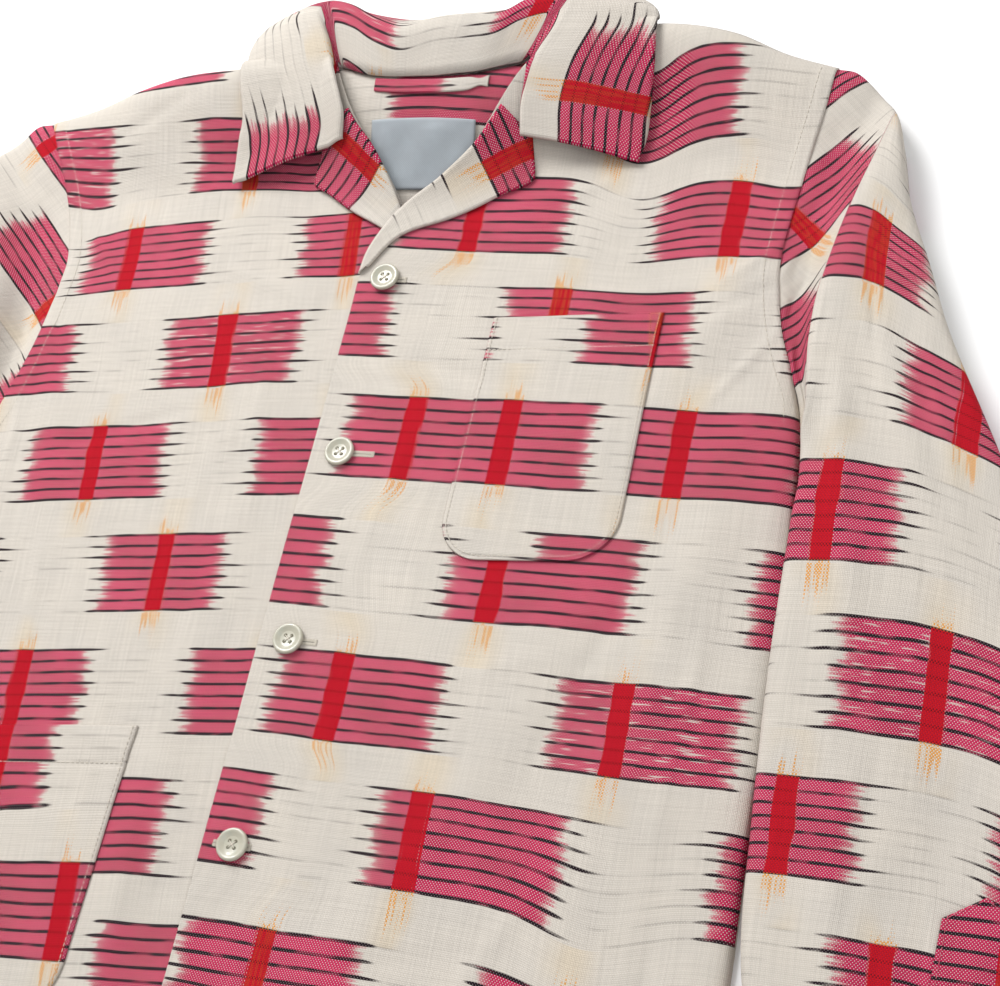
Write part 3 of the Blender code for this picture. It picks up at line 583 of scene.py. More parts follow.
def dyed_cloth(layout):
    """Handwoven cotton with a resist-dyed repeat, worked out from the cut's millimetres.

    Odd rows of blocks lie half a repeat from even ones. A block is pink weft between dark
    weft lines that run on past its feathered ends, and a red warp bar crosses it and bleeds
    up and down in dotted amber threads. A plain weave shows warp and weft in turn.
    """
    chart = CHARTS[layout]
    rows = [chart.get(number, chart["odd" if number % 2 else "even"]) for number in CHART_ROWS]
    paint = Paint("cloth " + layout, 0.9, Specular_IOR_Level=0.13)
    u0, v0 = paint.cut()
    u = u0 + 4.0 * (paint.cloud(u0 / 70.0, v0 / 50.0, 3.0) - 0.5)
    v = v0 + 3.0 * (paint.cloud(u0 / 60.0, v0 / 45.0, 9.0) - 0.5)

    lifted = v / ROW_PITCH
    row = lifted.floor()
    rise = (lifted - row) * ROW_PITCH - 2.0
    left, width, bar_at, repeat = paint.lookup(row, rows)
    across = (u - left - width / 2) / repeat
    block = across.round()
    x = (across - block) * repeat
    luck = paint.chance(row + 31.0, block)
    side = x.over(0.0)
    half_side = block * 2.0 + side

    # dark weft lines, each with its own run past the block's ends
    line = (rise / LINE_PITCH).round()
    off_line = (rise - line * LINE_PITCH).size()
    in_lines = line.over(-0.5) * (1.0 - line.over(LINES + 0.5))
    run = paint.chance(row * 17.0 + line, half_side)
    beyond = x.size() - width / 2
    reach = 7.0 + 19.0 * run * run
    fading = (beyond / reach).step(1.0, 0.0)
    wobble = paint.cloud(u / 14.0, v / 3.0, 5.0)
    half_line = 0.36 + 0.50 * fading + 0.5 * (wobble - 0.5)
    dark = off_line.step(half_line + 0.22, half_line - 0.22) * in_lines
    dark = dark * (beyond / reach).step(1.0, 0.45) * (0.6 + 0.4 * wobble.step(0.30, 0.52))
    ghost = paint.cloud(u / 26.0, row * 3.7 + line * 1.9).step(0.42, 0.66)
    ghost = off_line.step(1.0, 0.2) * in_lines * ghost * beyond.step(2.0, 12.0) * 0.26

    # pink weft, with every pick's dye ending at its own place
    pick = (v / WEFT_PITCH).floor()
    band = (rise / LINE_PITCH).floor()
    ragged = (5.0 * (paint.chance(row * 13.0 + band, half_side) - 0.5)
              + 5.0 * (paint.chance(pick, half_side) - 0.5)
              + 5.0 * (paint.cloud(u / 4.0, v / 6.0, 7.0) - 0.5))
    past_end = beyond - ragged
    pink = past_end.step(2.4, -2.4)
    pink = pink * rise.step(-0.7, -0.2) * rise.step(BLOCK_HEIGHT + 0.7, BLOCK_HEIGHT + 0.2)
    worn = paint.cloud(u / 16.0, v / 1.3, 11.0).step(0.60, 0.70) * luck.step(0.74, 0.90)
    pale_end = past_end.step(-7.0, 0.0) * 0.28

    # the red warp bar, and its bleeding: up from this row, and down from the next one
    yarn = (u / WARP_PITCH).floor()
    bar_x = x + left + width / 2 - bar_at + 4.0 * (luck - 0.5)
    bar_x = bar_x - repeat * (bar_x / repeat).round()
    uneven = 1.8 * (paint.chance(yarn, row) - 0.5) + 3.0 * (paint.cloud(v / 18.0, row, 41.0) - 0.5)
    bar = (bar_x.size() + uneven).step(BAR_WIDTH / 2 + 0.5, BAR_WIDTH / 2 - 0.5)
    inside = rise.step(-0.6, 0.0) * rise.step(BLOCK_HEIGHT + 0.6, BLOCK_HEIGHT)
    draw_up = paint.chance(yarn, row + 51.0)
    up_length = 3.0 + 16.0 * draw_up * draw_up
    bleed_up = (rise - BLOCK_HEIGHT).step(up_length, up_length * 0.5) * rise.over(BLOCK_HEIGHT)
    next_left, next_width, next_bar, next_repeat = paint.lookup(row + 1.0, rows)
    next_across = (u - next_left - next_width / 2) / next_repeat
    next_luck = paint.chance(row + 32.0, next_across.round())
    low_x = u - next_bar + 4.0 * (next_luck - 0.5)
    low_x = low_x - next_repeat * (low_x / next_repeat).round()
    low_bar = low_x.size().step(BAR_WIDTH / 2 + 0.5, BAR_WIDTH / 2 - 0.5)
    down_length = 4.0 + 22.0 * (draw_up - 0.5).size() * 2.0
    below = ROW_PITCH - 2.0 - rise
    bleed_down = below.step(down_length, down_length * 0.5) * rise.over(BLOCK_HEIGHT)
    foot = 1.0 - rise.over(0.0)
    bleed = (bar * (bleed_up.most(foot))).most(low_bar * bleed_down)
    haze = (bar_x.size().step(19.0, 1.0).most(low_x.size().step(19.0, 1.0))
            * paint.cloud(u / 30.0, v / 40.0, 13.0).step(0.35, 0.65) * rise.over(BLOCK_HEIGHT))

    # plain weave: where the warp is on top, and how high each thread stands
    weave = (u * (np.pi / WARP_PITCH)).sine() * (v * (np.pi / WEFT_PITCH)).sine()
    red = bar * inside
    rust = luck.step(0.20, 0.05) * paint.cloud(u / 1.6, v / 24.0, 43.0).step(0.40, 0.60) * 0.6
    eager = (red * 0.80).most(bleed * paint.chance(yarn, row + 7.0).over(0.5) * 0.9)
    warp_top = weave.step(0.50 - eager, 0.88 - eager) * (1.0 - 0.7 * dark * (1.0 - red))
    slub_warp = paint.cloud(u / 1.3, v / 45.0, 19.0) - 0.5
    slub_weft = paint.cloud(u / 40.0, v / 1.4, 23.0) - 0.5
    # soft mottles the pink dye and gates the flecks; where it tints the cream beige and darkens it, it is
    # painted fold shade, placed at random
    soft = paint.cloud(u / 35.0, v / 30.0, 37.0)
    fleck = paint.cloud(u / 1.1, v / 1.1, 29.0).step(0.80, 0.86) * soft.step(0.45, 0.6)

    warp = paint.mix(CREAM_WARP, DYE_HAZE_AND_SHADE_BEIGE, haze * 0.45)
    warp = paint.mix(warp, AMBER, bleed)
    warp = paint.mix(warp, paint.mix(RED, RUST, rust), red)
    # painted shade: 0.12 * soft lays a beige shade tint at random over the cream weft
    weft = paint.mix(paint.mix(CREAM_WEFT, DYE_HAZE_AND_SHADE_BEIGE, haze * 0.35 + 0.12 * soft), BLACK, ghost)
    pinks = paint.mix(PINK, PINK_DEEP, soft.step(0.3, 0.75))
    weft = paint.mix(weft, pinks, pink * (1.0 - 0.8 * worn) * (1.0 - pale_end))
    weft = paint.mix(weft, paint.mix(RED_WEFT, RUST, rust * 0.7), red)
    weft = paint.mix(weft, BLACK, dark * (1.0 - 0.35 * red))
    cloth = paint.mix(weft, warp, warp_top)
    cloth = paint.mix(cloth, FLECK, fleck * 0.5)
    # painted shade: gap is 0 in the gaps between threads, and tone darkens the colour there as shade would;
    # the slubs also vary it
    gap = weave.size().step(0.0, 0.35)
    # painted shade: the soft cloud's share of tone darkens and lightens the cloth in broad patches, placed at
    # random
    tone_and_gap_shade = 0.84 + 0.16 * gap + 0.20 * slub_warp + 0.16 * slub_weft + 0.10 * (soft - 0.5)
    paint.relief(weave.size().step(0.0, 0.8) * 0.7 + slub_warp * 1.1 + slub_weft * 0.9, 0.35, 0.55)
    return paint.colour(paint.shade(cloth, tone_and_gap_shade))


def plain_thread(name, colour):
    """Sewing thread: a matt colour with a fine twist across it."""
    paint = Paint(name, 0.6, Sheen_Weight=0.1)
    x, y = paint.spot()
    twist = ((x + y) * 9.0).sine() * 0.5 + 0.5
    paint.relief(twist, 0.08, 0.6)
    return paint.colour(paint.mix(colour, tuple(c * 0.7 for c in colour), twist * 0.6))


def label_cloth():
    """A bare woven patch: blue-grey warp and weft in a fine twill."""
    paint = Paint("label cloth", 0.62, Sheen_Weight=0.2)
    u, v = paint.cut()
    twill = ((u * 1.6 + v * 2.2) * np.pi).sine() * 0.5 + 0.5
    mottle = paint.cloud(u / 9.0, v / 9.0, 1.0, 3.0)
    colour = paint.mix((0.23, 0.245, 0.26), (0.34, 0.385, 0.42), twill * 0.5 + 0.5 * mottle)
    paint.relief(twill, 0.10, 0.5)
    return paint.colour(colour)


def shell_button():
    """River shell: a warm white with faint cloudy bands, and a clear polish."""
    paint = Paint("shell button", 0.30, Coat_Weight=0.35, Coat_Roughness=0.12)
    x, y = paint.spot()
    bands = paint.cloud(x / 7.0 + y / 11.0, y / 2.6, 4.0, 3.0)
    glow = paint.cloud(x / 4.0, y / 5.0, 8.0, 2.0)
    pearl = paint.mix((0.37, 0.35, 0.265), (0.47, 0.45, 0.375), bands)
    return paint.colour(paint.mix(pearl, (0.35, 0.38, 0.32), glow.step(0.45, 0.8) * 0.5))


CLOTHS = {layout: dyed_cloth(layout) for layout in CHARTS}
CREAM_THREAD = plain_thread("cream thread", (0.62, 0.57, 0.48))
ORANGE_THREAD = plain_thread("orange thread", (0.70, 0.22, 0.05))
PINK_THREAD = plain_thread("pink thread", (0.55, 0.09, 0.14))
# painted shadow: a near-black for the shade inside each buttonhole's slit
SLIT_SHADOW_PAINT = plain_thread("slit shadow", (0.10, 0.085, 0.07))
SHELL = shell_button()
LABEL_CLOTH = label_cloth()


# ---- how each piece was cut ------------------------------------------------------------
# the middle of each row of blocks on the left front: y, row number
LEFT_ROWS = (
    (-647, -3), (-570, -2), (-493, -1), (-416, 0), (-331, 1), (-262, 2), (-184, 3), (-104, 4),
    (-26.5, 5), (47, 6), (130, 7), (208, 8), (285, 9),
)
# and on the right front, measured across its slanting weft
RIGHT_ROWS = (
    (-722, -10), (-645, -9), (-568, -8), (-491, -7), (-414, -6), (-337, -5), (-259, -4), (-188, -3),
    (-115, -2), (-41, -1), (32, 0), (100, 1), (171, 2), (247, 3), (323, 4),
)
RIGHT_SLANT = 0.11         # fall of the right front's weft to the side, and what is left of
RIGHT_SLANT_TOP = 0.03     # it at the shoulder
SLANT_PIVOT = -150.0
# the left sleeve's rows: y of a block's lower line, and the height up the cut
SLEEVE_ROWS = (
    (-560, -537), (-480, -460), (-403, -383), (-326, -306), (-253, -229), (-166, -152),
    (-82, -75), (1, 2), (72, 79), (145, 156),
)
SLEEVE_RIGHT_DROP = 42.0   # the right sleeve's rows lie lower by this
# where slack cloth has shifted along its own plane: x, y, half length, half width, angle, shift of v
LEFT_PULLS = (
    (200, -370, 60, 34, 90, 12), (140, 130, 60, 24, 90, 18), (150, 52, 50, 26, 90, 9),
    (235, 70, 60, 22, 90, 5),
)
RIGHT_PULLS = ((-222, 25, 45, 22, 80, 8), (-60, 60, 40, 24, 90, 4))


def cut_left(x, y):
    """The left front lies square, with its rows at the places above."""
    row = spline(y, LEFT_ROWS, 1)
    v = ROW_PITCH * row + BLOCK_HEIGHT / 2 + 2
    odd = ease((0.62 - np.abs(row % 2 - 1)) / 0.24) * (21.0 * ease(row - 2) - 9.0)
    return np.stack([x + odd * ease((70 - x) / 40), v + hills(x, y, LEFT_PULLS)], -1)


def cut_right(x, y):
    """The right front's weft falls away to its side, less so at the shoulder."""
    slant = RIGHT_SLANT + (RIGHT_SLANT_TOP - RIGHT_SLANT) * ease((y - 40) / 50)
    rise = 0.994 * y - SLANT_PIVOT * RIGHT_SLANT - slant * (x - SLANT_PIVOT)
    v = ROW_PITCH * spline(rise, RIGHT_ROWS, 1) + BLOCK_HEIGHT / 2 + 2
    return np.stack([(x + 58 + 0.11 * y) * 161 / 152, v + hills(x, y, RIGHT_PULLS)], -1)


def cut_hip(x, y):
    """The hip pocket's cloth lies higher up the warp than its front's, more so lower down."""
    cut = cut_right(x, y)
    cut[..., 1] += 39.0 + 8.0 * ease((-330 - y) / 30)
    return cut


def turned_cut(x, y, origin, angle, offset):
    """A cut that is turned about a point: u runs at the angle, and offset is its u and v there."""
    c, s = np.cos(np.radians(angle)), np.sin(np.radians(angle))
    return np.stack([(x - origin[0]) * c + (y - origin[1]) * s + offset[0],
                     (y - origin[1]) * c - (x - origin[0]) * s + offset[1]], -1)


def arc(points, axis):
    """Length along a grid's axis, from its first row or column."""
    step = np.linalg.norm(np.diff(points, axis=axis), axis=-1)
    start = np.zeros_like(step.take([0], axis=axis))
    return np.concatenate([start, np.cumsum(step, axis=axis)], axis=axis)


# ---- cloth pieces ----------------------------------------------------------------------
def shoulder_bend(x, y):
    return spline(x, TOP_EDGE, 1) - y


def front(name, node, rows, height, cut, finish, flip):
    """A front: straight rows between its edges, the last bent to the shoulder, its edge rounded."""
    t = np.linspace(0, 1, 250)[:, None]
    s = np.concatenate([[0, .0012, .003, .006], np.linspace(.01, 1, 106)])[None, :]
    xi, yi, xo, yo = (spline(t, rows, c) for c in (1, 2, 3, 4))
    x, y = xi + (xo - xi) * s, yi + (yo - yi) * s
    y = y + shoulder_bend(x[-1:], y[-1:]) * ease((t - 0.72) / 0.28)
    z = height(x, y) - rounded(np.hypot(xo - xi, yo - yi) * s, 0.7) - rounded(y - HEM_Y, 0.7)
    points = np.stack([x, y, z], -1)
    piece = shell(name, points, cut(x, y), WALL, finish, flip=flip)
    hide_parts(node)
    return piece


def back():
    """The back: rows from side to side, with the last bent to the shoulders and the neck."""
    t = np.linspace(0, 1, 120)[:, None]
    s = np.linspace(0, 1, 90)[None, :]
    x0, y0 = (spline(t, FRONT_RIGHT_ROWS, c) for c in (3, 4))
    x1, y1 = (spline(t, FRONT_LEFT_ROWS, c) for c in (3, 4))
    x, y = x0 + (x1 - x0) * s, y0 + (y1 - y0) * s
    y = y + shoulder_bend(x[-1:], y[-1:]) * ease((t - 0.72) / 0.28)
    cut = np.stack([x + 16, y + 53], -1)
    points = np.stack([x, y, back_height(x, y)], -1)
    piece = shell("back_cloth", points, cut, WALL, CLOTHS["back"])
    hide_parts("back")
    return piece


def lapel(name, node, rows, height, cut, flip):
    """A turned-back lapel, which lifts at the roll and rounds down at its sewn edge."""
    t = np.linspace(0, 1, 90)[:, None]
    s = np.linspace(0, 1, 60)[None, :]
    rx, ry, ex, ey = (spline(t, rows, c) for c in (1, 2, 3, 4))
    x, y = rx + (ex - rx) * s, ry + (ey - ry) * s
    away = np.hypot(x - rx, y - ry)
    wide = np.hypot(ex - rx, ey - ry)
    roll = 1.6 * np.exp(-away / 6.0) * ease(wide / 20) - 1.5 * (1 - quarter(away, 2.2))
    z = height(x, y) + roll - rounded(wide - away, 0.8) + 0.2 * ripple(x * 1.7, y * 1.4)
    piece = shell(name, np.stack([x, y, z], -1), cut(x, y), WALL, CLOTHS["lapel"], flip=flip)
    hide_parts(node)
    return piece


def covered_height(x, y):
    """Top of what the collar lies on: a front with its lapel, falling away past the shoulder."""
    left, right = left_lapel_height(x, y), right_lapel_height(x, y)
    past = np.maximum(0, y - spline(x, TOP_EDGE, 1))
    return np.where(x > 0, left, right) - 1.1 * past


def collar():
    """The collar: up from the neck seam, over the fold and down to the outer edge.

    Each section is two straight runs, stand and fall, rounded where they meet, and none of it
    goes below what it lies on. It returns the piece and the line of its stitches.
    """
    sections = np.array(COLLAR_SECTIONS, float)
    table = np.column_stack([np.linspace(0, 1, len(sections)), sections])
    a = np.linspace(0, 1, 420)
    neck, fold, edge = (np.stack([spline(a, table, 3 * k + c) for c in (1, 2, 3)], -1) for k in range(3))

    # behind the neck it is sewn flat on the back, and it leaves the fronts a little earlier
    behind_neck = ease((a - 0.235) / 0.05) * ease((0.765 - a) / 0.05)
    open_neck = ease((a - 0.15) / 0.06) * ease((0.85 - a) / 0.06)
    neck[:, 1] -= 3.0 * behind_neck
    neck[:, 2] += NECK_ROOM
    sewn = back_height(neck[:, 0], neck[:, 1]) + 1.3
    neck[:, 2] += np.minimum(0, sewn - neck[:, 2]) * behind_neck

    stand = np.array((0, .2, .4, .6, .8))
    fall = np.concatenate([[.02, .045, .08], np.linspace(.12, 1.0, 44)])
    up = neck[:, None] + (fold[:, None] - neck[:, None]) * stand[:, None]
    down = fold[:, None] + (edge[:, None] - fold[:, None]) * fall[:, None]
    down[..., 2] += 3.0 * np.sin(np.pi * fall)
    points = np.concatenate([up, down], 1)
    count = points.shape[1]

    # lifted clear of what it lies on, most of all at the fold
    share = np.concatenate([stand / 4, 0.2 + 0.8 * fall])
    room = np.interp(share, (0, .1, .2, .24, .3, .4, .6, 1.0), (1.6, 2.0, 2.4, 2.4, 1.2, .6, .3, 0))
    limit = covered_height(points[..., 0], points[..., 1]) + GAP + THICK_WALL + 0.4
    limit[:, :5] -= 14.0 * open_neck[:, None]
    points[..., 2] = np.maximum(points[..., 2], limit + room)
    to_end = np.minimum(np.minimum(a, 1 - a) * 430, 50)[:, None]
    drop = np.linalg.norm(edge - fold, axis=1)
    to_edge = drop[:, None] * (1 - np.concatenate([[-9] * 5, fall]))
    points[..., 2] += 0.35 * ripple(points[..., 0] * 1.6, points[..., 1] * 1.5) * ease(to_edge / 12)
    points[..., 2] -= rounded(to_edge, 0.9) + rounded(to_end, 0.9)

    # its cut: u along the seam, v from the fold, with other rows of blocks behind the neck
    across = arc(points, 1)
    v = across - across[:, 5:6] - 15.0
    v = v - 46.0 * (ease((a - 0.255) / 0.04) * ease((0.745 - a) / 0.04))[:, None]
    v = v - 5.0 * (1 - ease((a - 0.2) / 0.05))[:, None]
    v[:, :4] -= 16.0 * (a < 0.2)[:, None]
    run = arc(neck[:, None] * 0.35 + fold[:, None] * 0.65, 0)
    u = np.broadcast_to(0.958 * run, (len(a), count))
    piece = shell("collar_cloth", points, np.stack([u, v], -1), THICK_WALL, CLOTHS["collar"], flip=True)
    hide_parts("collar")

    at = np.interp(1 - COLLAR_STITCH_INSET / drop, fall, np.arange(5, count))
    low = at.astype(int)
    index, part = np.arange(len(a)), (at - low)[:, None]
    seam = points[index, low] * (1 - part) + points[index, np.minimum(low + 1, count - 1)] * part
    seam = np.concatenate([points[5, 8:low[5]], seam[5:-5], points[-6, low[-6] - 1:8:-1]])
    return piece, seam


def sleeve_rings(rows, armhole, t, angle):
    """Rings of a sleeve from the armhole to the cuff, with a flat underside.

    Each ring runs from an inner to an outer point, over the top for angles up to pi and back
    beneath. Near the armhole it bows to the seam, dips into the hollow beside the arm, and
    then climbs the folded ridge.
    """
    t = t[:, None]
    p = (1 - np.cos(angle)) / 2
    xi, yi, xo, yo, crown = (spline(t, rows, c) for c in (1, 2, 3, 4, 5))
    near = 1 - ease(t / 0.24)
    hx, hy = spline(p, armhole, 1), spline(p, armhole, 2)
    first, last = np.array(armhole[0][1:], float), np.array(armhole[-1][1:], float)
    bow = hx - (first[0] + (last[0] - first[0]) * p) - np.sign(xi) * SEAM_TUCK * (1 - ease(t / 0.03))
    x = xi + (xo - xi) * p + bow * near
    y = yi + (yo - yi) * p + (hy - (first[1] + (last[1] - first[1]) * p)) * near
    recess = 1 - ease((t - 0.02) / RECESS_END)
    head = ease((p - 0.72) / 0.22) * recess
    top = crown + (HEAD_HEIGHT - crown) * head
    for ft, fp, length, width, rise in SLEEVE_FOLDS:
        top = top + rise * np.exp(-((t - ft) / length) ** 2 - ((p - fp) / width) ** 2)
    fine = 0.6 * ripple(x * 1.2, y) * ease(t / 0.05)
    for ct, cp, length, width, slope, rise in SLEEVE_CREASES:
        fine = fine + rise * np.exp(-((t - ct) / length) ** 2 - ((p - cp - slope * (t - ct)) / width) ** 2)
    seam = 1 - ease(t / 0.045)
    top = top + fine + (front_height(hx, hy) - 1.0 - top) * seam
    floor = (back_height(hx, hy) - WALL) * (1 - ease(t / 0.14))
    middle = floor + 0.42 * (top - floor)
    turn = np.abs(np.sin(angle))
    over = middle + (top - middle) * quarter(turn, 0.62)
    under = middle - (middle - floor) * quarter(turn, 0.5)
    return np.stack([x, y, np.where(angle <= np.pi, over, under)], -1)


def ring_angles(top, bottom):
    over = np.linspace(0, np.pi, top, endpoint=False)
    under = np.linspace(np.pi, 2 * np.pi, bottom, endpoint=False)
    return np.concatenate([over, under])[None, :]


def sleeve_cut(points, side, middle):
    """The cut of a sleeve beyond its ridge, where it lies square.

    u is x at the top's middle, and then the length round the ring. v is the height up the
    sleeve, from the rows above, and its weft drops towards the outer edge.
    """
    closed = np.concatenate([points, points[:, :1]], 1)
    bend = np.linalg.norm(np.diff(closed[..., [0, 2]], axis=1), axis=-1)
    run = np.concatenate([np.zeros((len(points), 1)), np.cumsum(bend, axis=1)], 1)
    u = run - run[:, middle:middle + 1] + points[:, middle:middle + 1, 0] * side
    from_edge = np.linalg.norm((closed - points[:, 2 * middle:2 * middle + 1])[..., :2], axis=-1)
    v = spline(closed[..., 1] + 28.0 * np.clip(1 - from_edge / 75.0, 0, 1) ** 2, SLEEVE_ROWS, 1)
    return np.stack([u, v], -1)


def hollow_cut(points, side):
    """The cut in the hollow by the armhole, where the cloth is pulled askew by 45 degrees."""
    closed = np.concatenate([points, points[:, :1]], 1)
    x, y = closed[..., 0] * side, closed[..., 1]
    v = ((y - x) / np.sqrt(2) + 156.0) * 1.19 + 2.0
    return np.stack([(x + y) / np.sqrt(2), v if side > 0 else 1.08 * v + 6.0], -1)


def sleeve(side, rows, armhole, flip):
    """A sleeve in one shell, whose hollow and outer part each take their own chart."""
    t = np.concatenate([np.linspace(0, .07, 26), np.linspace(.073, .125, 30), np.linspace(.13, 1, 170)])
    angle = ring_angles(110, 34)
    points = sleeve_rings(rows, armhole, t, angle)
    sign = np.sign(rows[0][1])
    low = np.array((0.0, 0.0 if sign > 0 else SLEEVE_RIGHT_DROP, 0.0))
    outer = (t > RIDGE)[:, None, None]
    cut = np.where(outer, sleeve_cut(points + low, sign, 55), hollow_cut(points + low, sign))
    piece = shell(f"sleeve_{side}_cloth", points, cut, WALL, CLOTHS["sleeve"], ring=True, flip=flip)
    piece.data.materials.append(CLOTHS[side + " hollow"])
    hollow = np.repeat((t[1:] <= RIDGE).astype(np.int32), angle.shape[1])
    piece.data.polygons.foreach_set("material_index", hollow)
    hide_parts(f"sleeve_{side}")
    return piece


def cuff(side, rows, flip):
    """A cuff: a flattened band that goes on from the sleeve's last ring."""
    inner, inner_y, outer, outer_y = rows[-1][1:5]
    t = np.concatenate([[0, .006, .016, .03], np.linspace(.05, .95, 30), [.97, .984, .994, 1]])[:, None]
    angle = ring_angles(80, 34)
    p = (1 - np.cos(angle)) / 2
    x = inner + (outer - inner) * p + 0 * t
    y = inner_y + (outer_y - inner_y) * p - GAP - CUFF_LENGTH * t
    crown = CUFF_CROWN - 1.5 * t - rounded(CUFF_LENGTH * t, 0.8) - rounded(CUFF_LENGTH * (1 - t), 0.8)
    crown = crown + 0.4 * ripple(x, y) * np.sin(np.pi * np.clip(t, 0, 1))
    turn = np.abs(np.sin(angle))
    over = 0.42 * crown + 0.58 * crown * quarter(turn, 0.5)
    under = 0.42 * crown * (1 - quarter(turn, 0.4))
    points = np.stack([x, y, np.where(angle <= np.pi, over, under)], -1)
    closed = np.concatenate([points, points[:, :1]], 1)
    run = np.broadcast_to(arc(closed[:1], 1), closed.shape[:2])
    cut = np.stack([run + 20, closed[..., 1] + 14], -1)
    piece = shell(f"cuff_{side}_cloth", points, cut, THICK_WALL, CLOTHS["sleeve"], ring=True, flip=flip)
    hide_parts(f"cuff_{side}")
    return piece


def sleeve_top(rows, armhole, x, y):
    """The upper face of a sleeve's lower half at x and y, by halving the range of t."""
    low, high = np.full(x.shape, 0.5), np.full(x.shape, 1.0)
    for _ in range(22):
        t = (low + high) / 2
        xi, yi, xo, yo = (spline(t, rows, c) for c in (1, 2, 3, 4))
        p = np.clip((x - xi) / (xo - xi), 0.02, 0.98)
        above = y < yi + (yo - yi) * p
        low, high = np.where(above, t, low), np.where(above, high, t)
    angle = np.arccos(1 - 2 * p)
    points = sleeve_rings(rows, armhole, t.ravel(), angle.reshape(-1, 1))
    return points[:, 0, 2].reshape(x.shape)


def placket(side, rows, armhole, mirror):
    """The pointed strip at the sleeve's opening, a layer above the sleeve."""
    apex_x, apex_y, width, length, point = PLACKET
    s = np.linspace(-1, 1, 45)[None, :]
    v = np.linspace(0, 1, 90)[:, None]
    hand = -1 if mirror else 1
    drop = rows[-1][4] - SLEEVE_LEFT_RINGS[-1][4]
    x = hand * (apex_x + s * width / 2 - 6 * v)
    y = apex_y + drop - point * np.abs(s) * (1 - v) - length * v
    rim = np.minimum(width / 2 * (1 - np.abs(s)), length * v + 0.3)
    z = sleeve_top(rows, armhole, x, y) + LAYER + 0.8
    points = np.stack([x, y, z - rounded(rim, 0.8)], -1)
    cut = turned_cut(hand * x, y, (apex_x, apex_y), 0, (0.0, 49.0))
    piece = shell(f"placket_{side}_cloth", points, cut, WALL, CLOTHS["placket"], flip=not mirror)
    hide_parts(f"sleeve_placket_{side}")
    edge = np.concatenate([points[::-1, 3], points[1, 3:-3], points[:, -4]])
    return piece, edge + (0, 0, 0.15)


def pocket(name, node, sizes, height, cut, finish):
    """A patch pocket with round bottom corners, from its front's points moved out by a layer."""
    cx, top_y, width, depth, radius, slope = sizes
    v = np.concatenate([[0, .004, .01], np.linspace(.02, .80, 60), np.linspace(.81, .96, 26),
                        np.linspace(.964, 1.0, 16)])[:, None]
    s = np.linspace(-1, 1, 90)[None, :]
    into_corner = np.clip((v * depth - (depth - radius)) / radius, 0, 1)
    half = width / 2 - radius * (1 - np.sqrt(np.maximum(0, 1 - into_corner ** 2)))
    x = cx + s * half - 1.5 * v
    y = top_y + slope * (x - cx) - v * depth
    rim = np.minimum(half * (1 - np.abs(s)), np.minimum(v, 1 - v) * depth)
    hem_line = -0.35 * np.exp(-((v * depth - POCKET_HEM) / 0.9) ** 2)
    puff = 0.5 * ease(rim / 20) + 0.25 * ripple(x * 1.3, y * 1.2) * ease(rim / 10)
    sewn = -0.25 * np.exp(-((rim - 2.4) / 0.8) ** 2)
    z = height(x, y) + LAYER + POCKET_ROOM + puff + hem_line + sewn - rounded(rim, 0.8)
    points = np.stack([x, y, z], -1)
    piece = shell(name, points, cut(x, y), WALL, finish, flip=True)
    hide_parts(node)
    return piece


def pocket_seams(name, sizes, height, finish):
    """Stitches round a pocket 2.4 mm in from its edge, and along its hem."""
    cx, top_y, width, depth, radius, slope = sizes
    inset = 2.4
    v = np.linspace(0, 1 - inset / depth, 120)
    into_corner = np.clip((v * depth - (depth - radius)) / (radius - inset), 0, 1)
    half = width / 2 - inset - (radius - inset) * (1 - np.sqrt(np.maximum(0, 1 - into_corner ** 2)))
    left = np.stack([cx - half - 1.5 * v, v], -1)
    right = np.stack([cx + half - 1.5 * v, v], -1)[::-1]
    outline = np.concatenate([left, right])
    hem_v = POCKET_HEM / depth
    across = np.linspace(cx - width / 2 + 1.0, cx + width / 2 - 1.0, 60) - 1.5 * hem_v
    hem = np.stack([across, np.full(60, hem_v)], -1)
    rows = []
    for line in (outline, hem):
        x = line[:, 0]
        y = top_y + slope * (x - cx) - line[:, 1] * depth
        z = height(x, y) + LAYER + POCKET_ROOM + 0.12
        rows.append(stitch_row(np.stack([x, y, z], -1), 3.0))
    centres, along = (np.concatenate(parts) for parts in zip(*rows))
    return beads(name, centres, along, lying(len(centres)), (2.2, 0.45, 0.4), finish)


def label_patch():
    """The bare label: a patch with slight folds, a little above the back."""
    s = np.linspace(-0.5, 0.5, 60)[None, :]
    t = np.linspace(-0.5, 0.5, 36)[:, None]
    x, y = LABEL[0] + s * LABEL[2] + 0 * t, LABEL[1] + t * LABEL[3] + 0 * s
    rim = np.minimum((0.5 - np.abs(s)) * LABEL[2], (0.5 - np.abs(t)) * LABEL[3])
    folds = 0.35 + 0.5 * np.sin(x / 9 + y / 16) + 0.3 * np.sin(x / 5 - y / 7)
    z = back_height(x, y) + GAP + 1.6 + folds * ease(rim / 8) - rounded(rim, 0.5)
    piece = shell("label_patch", np.stack([x, y, z], -1), np.stack([x, y], -1), 0.9, LABEL_CLOTH)
    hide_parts("label")
    return piece


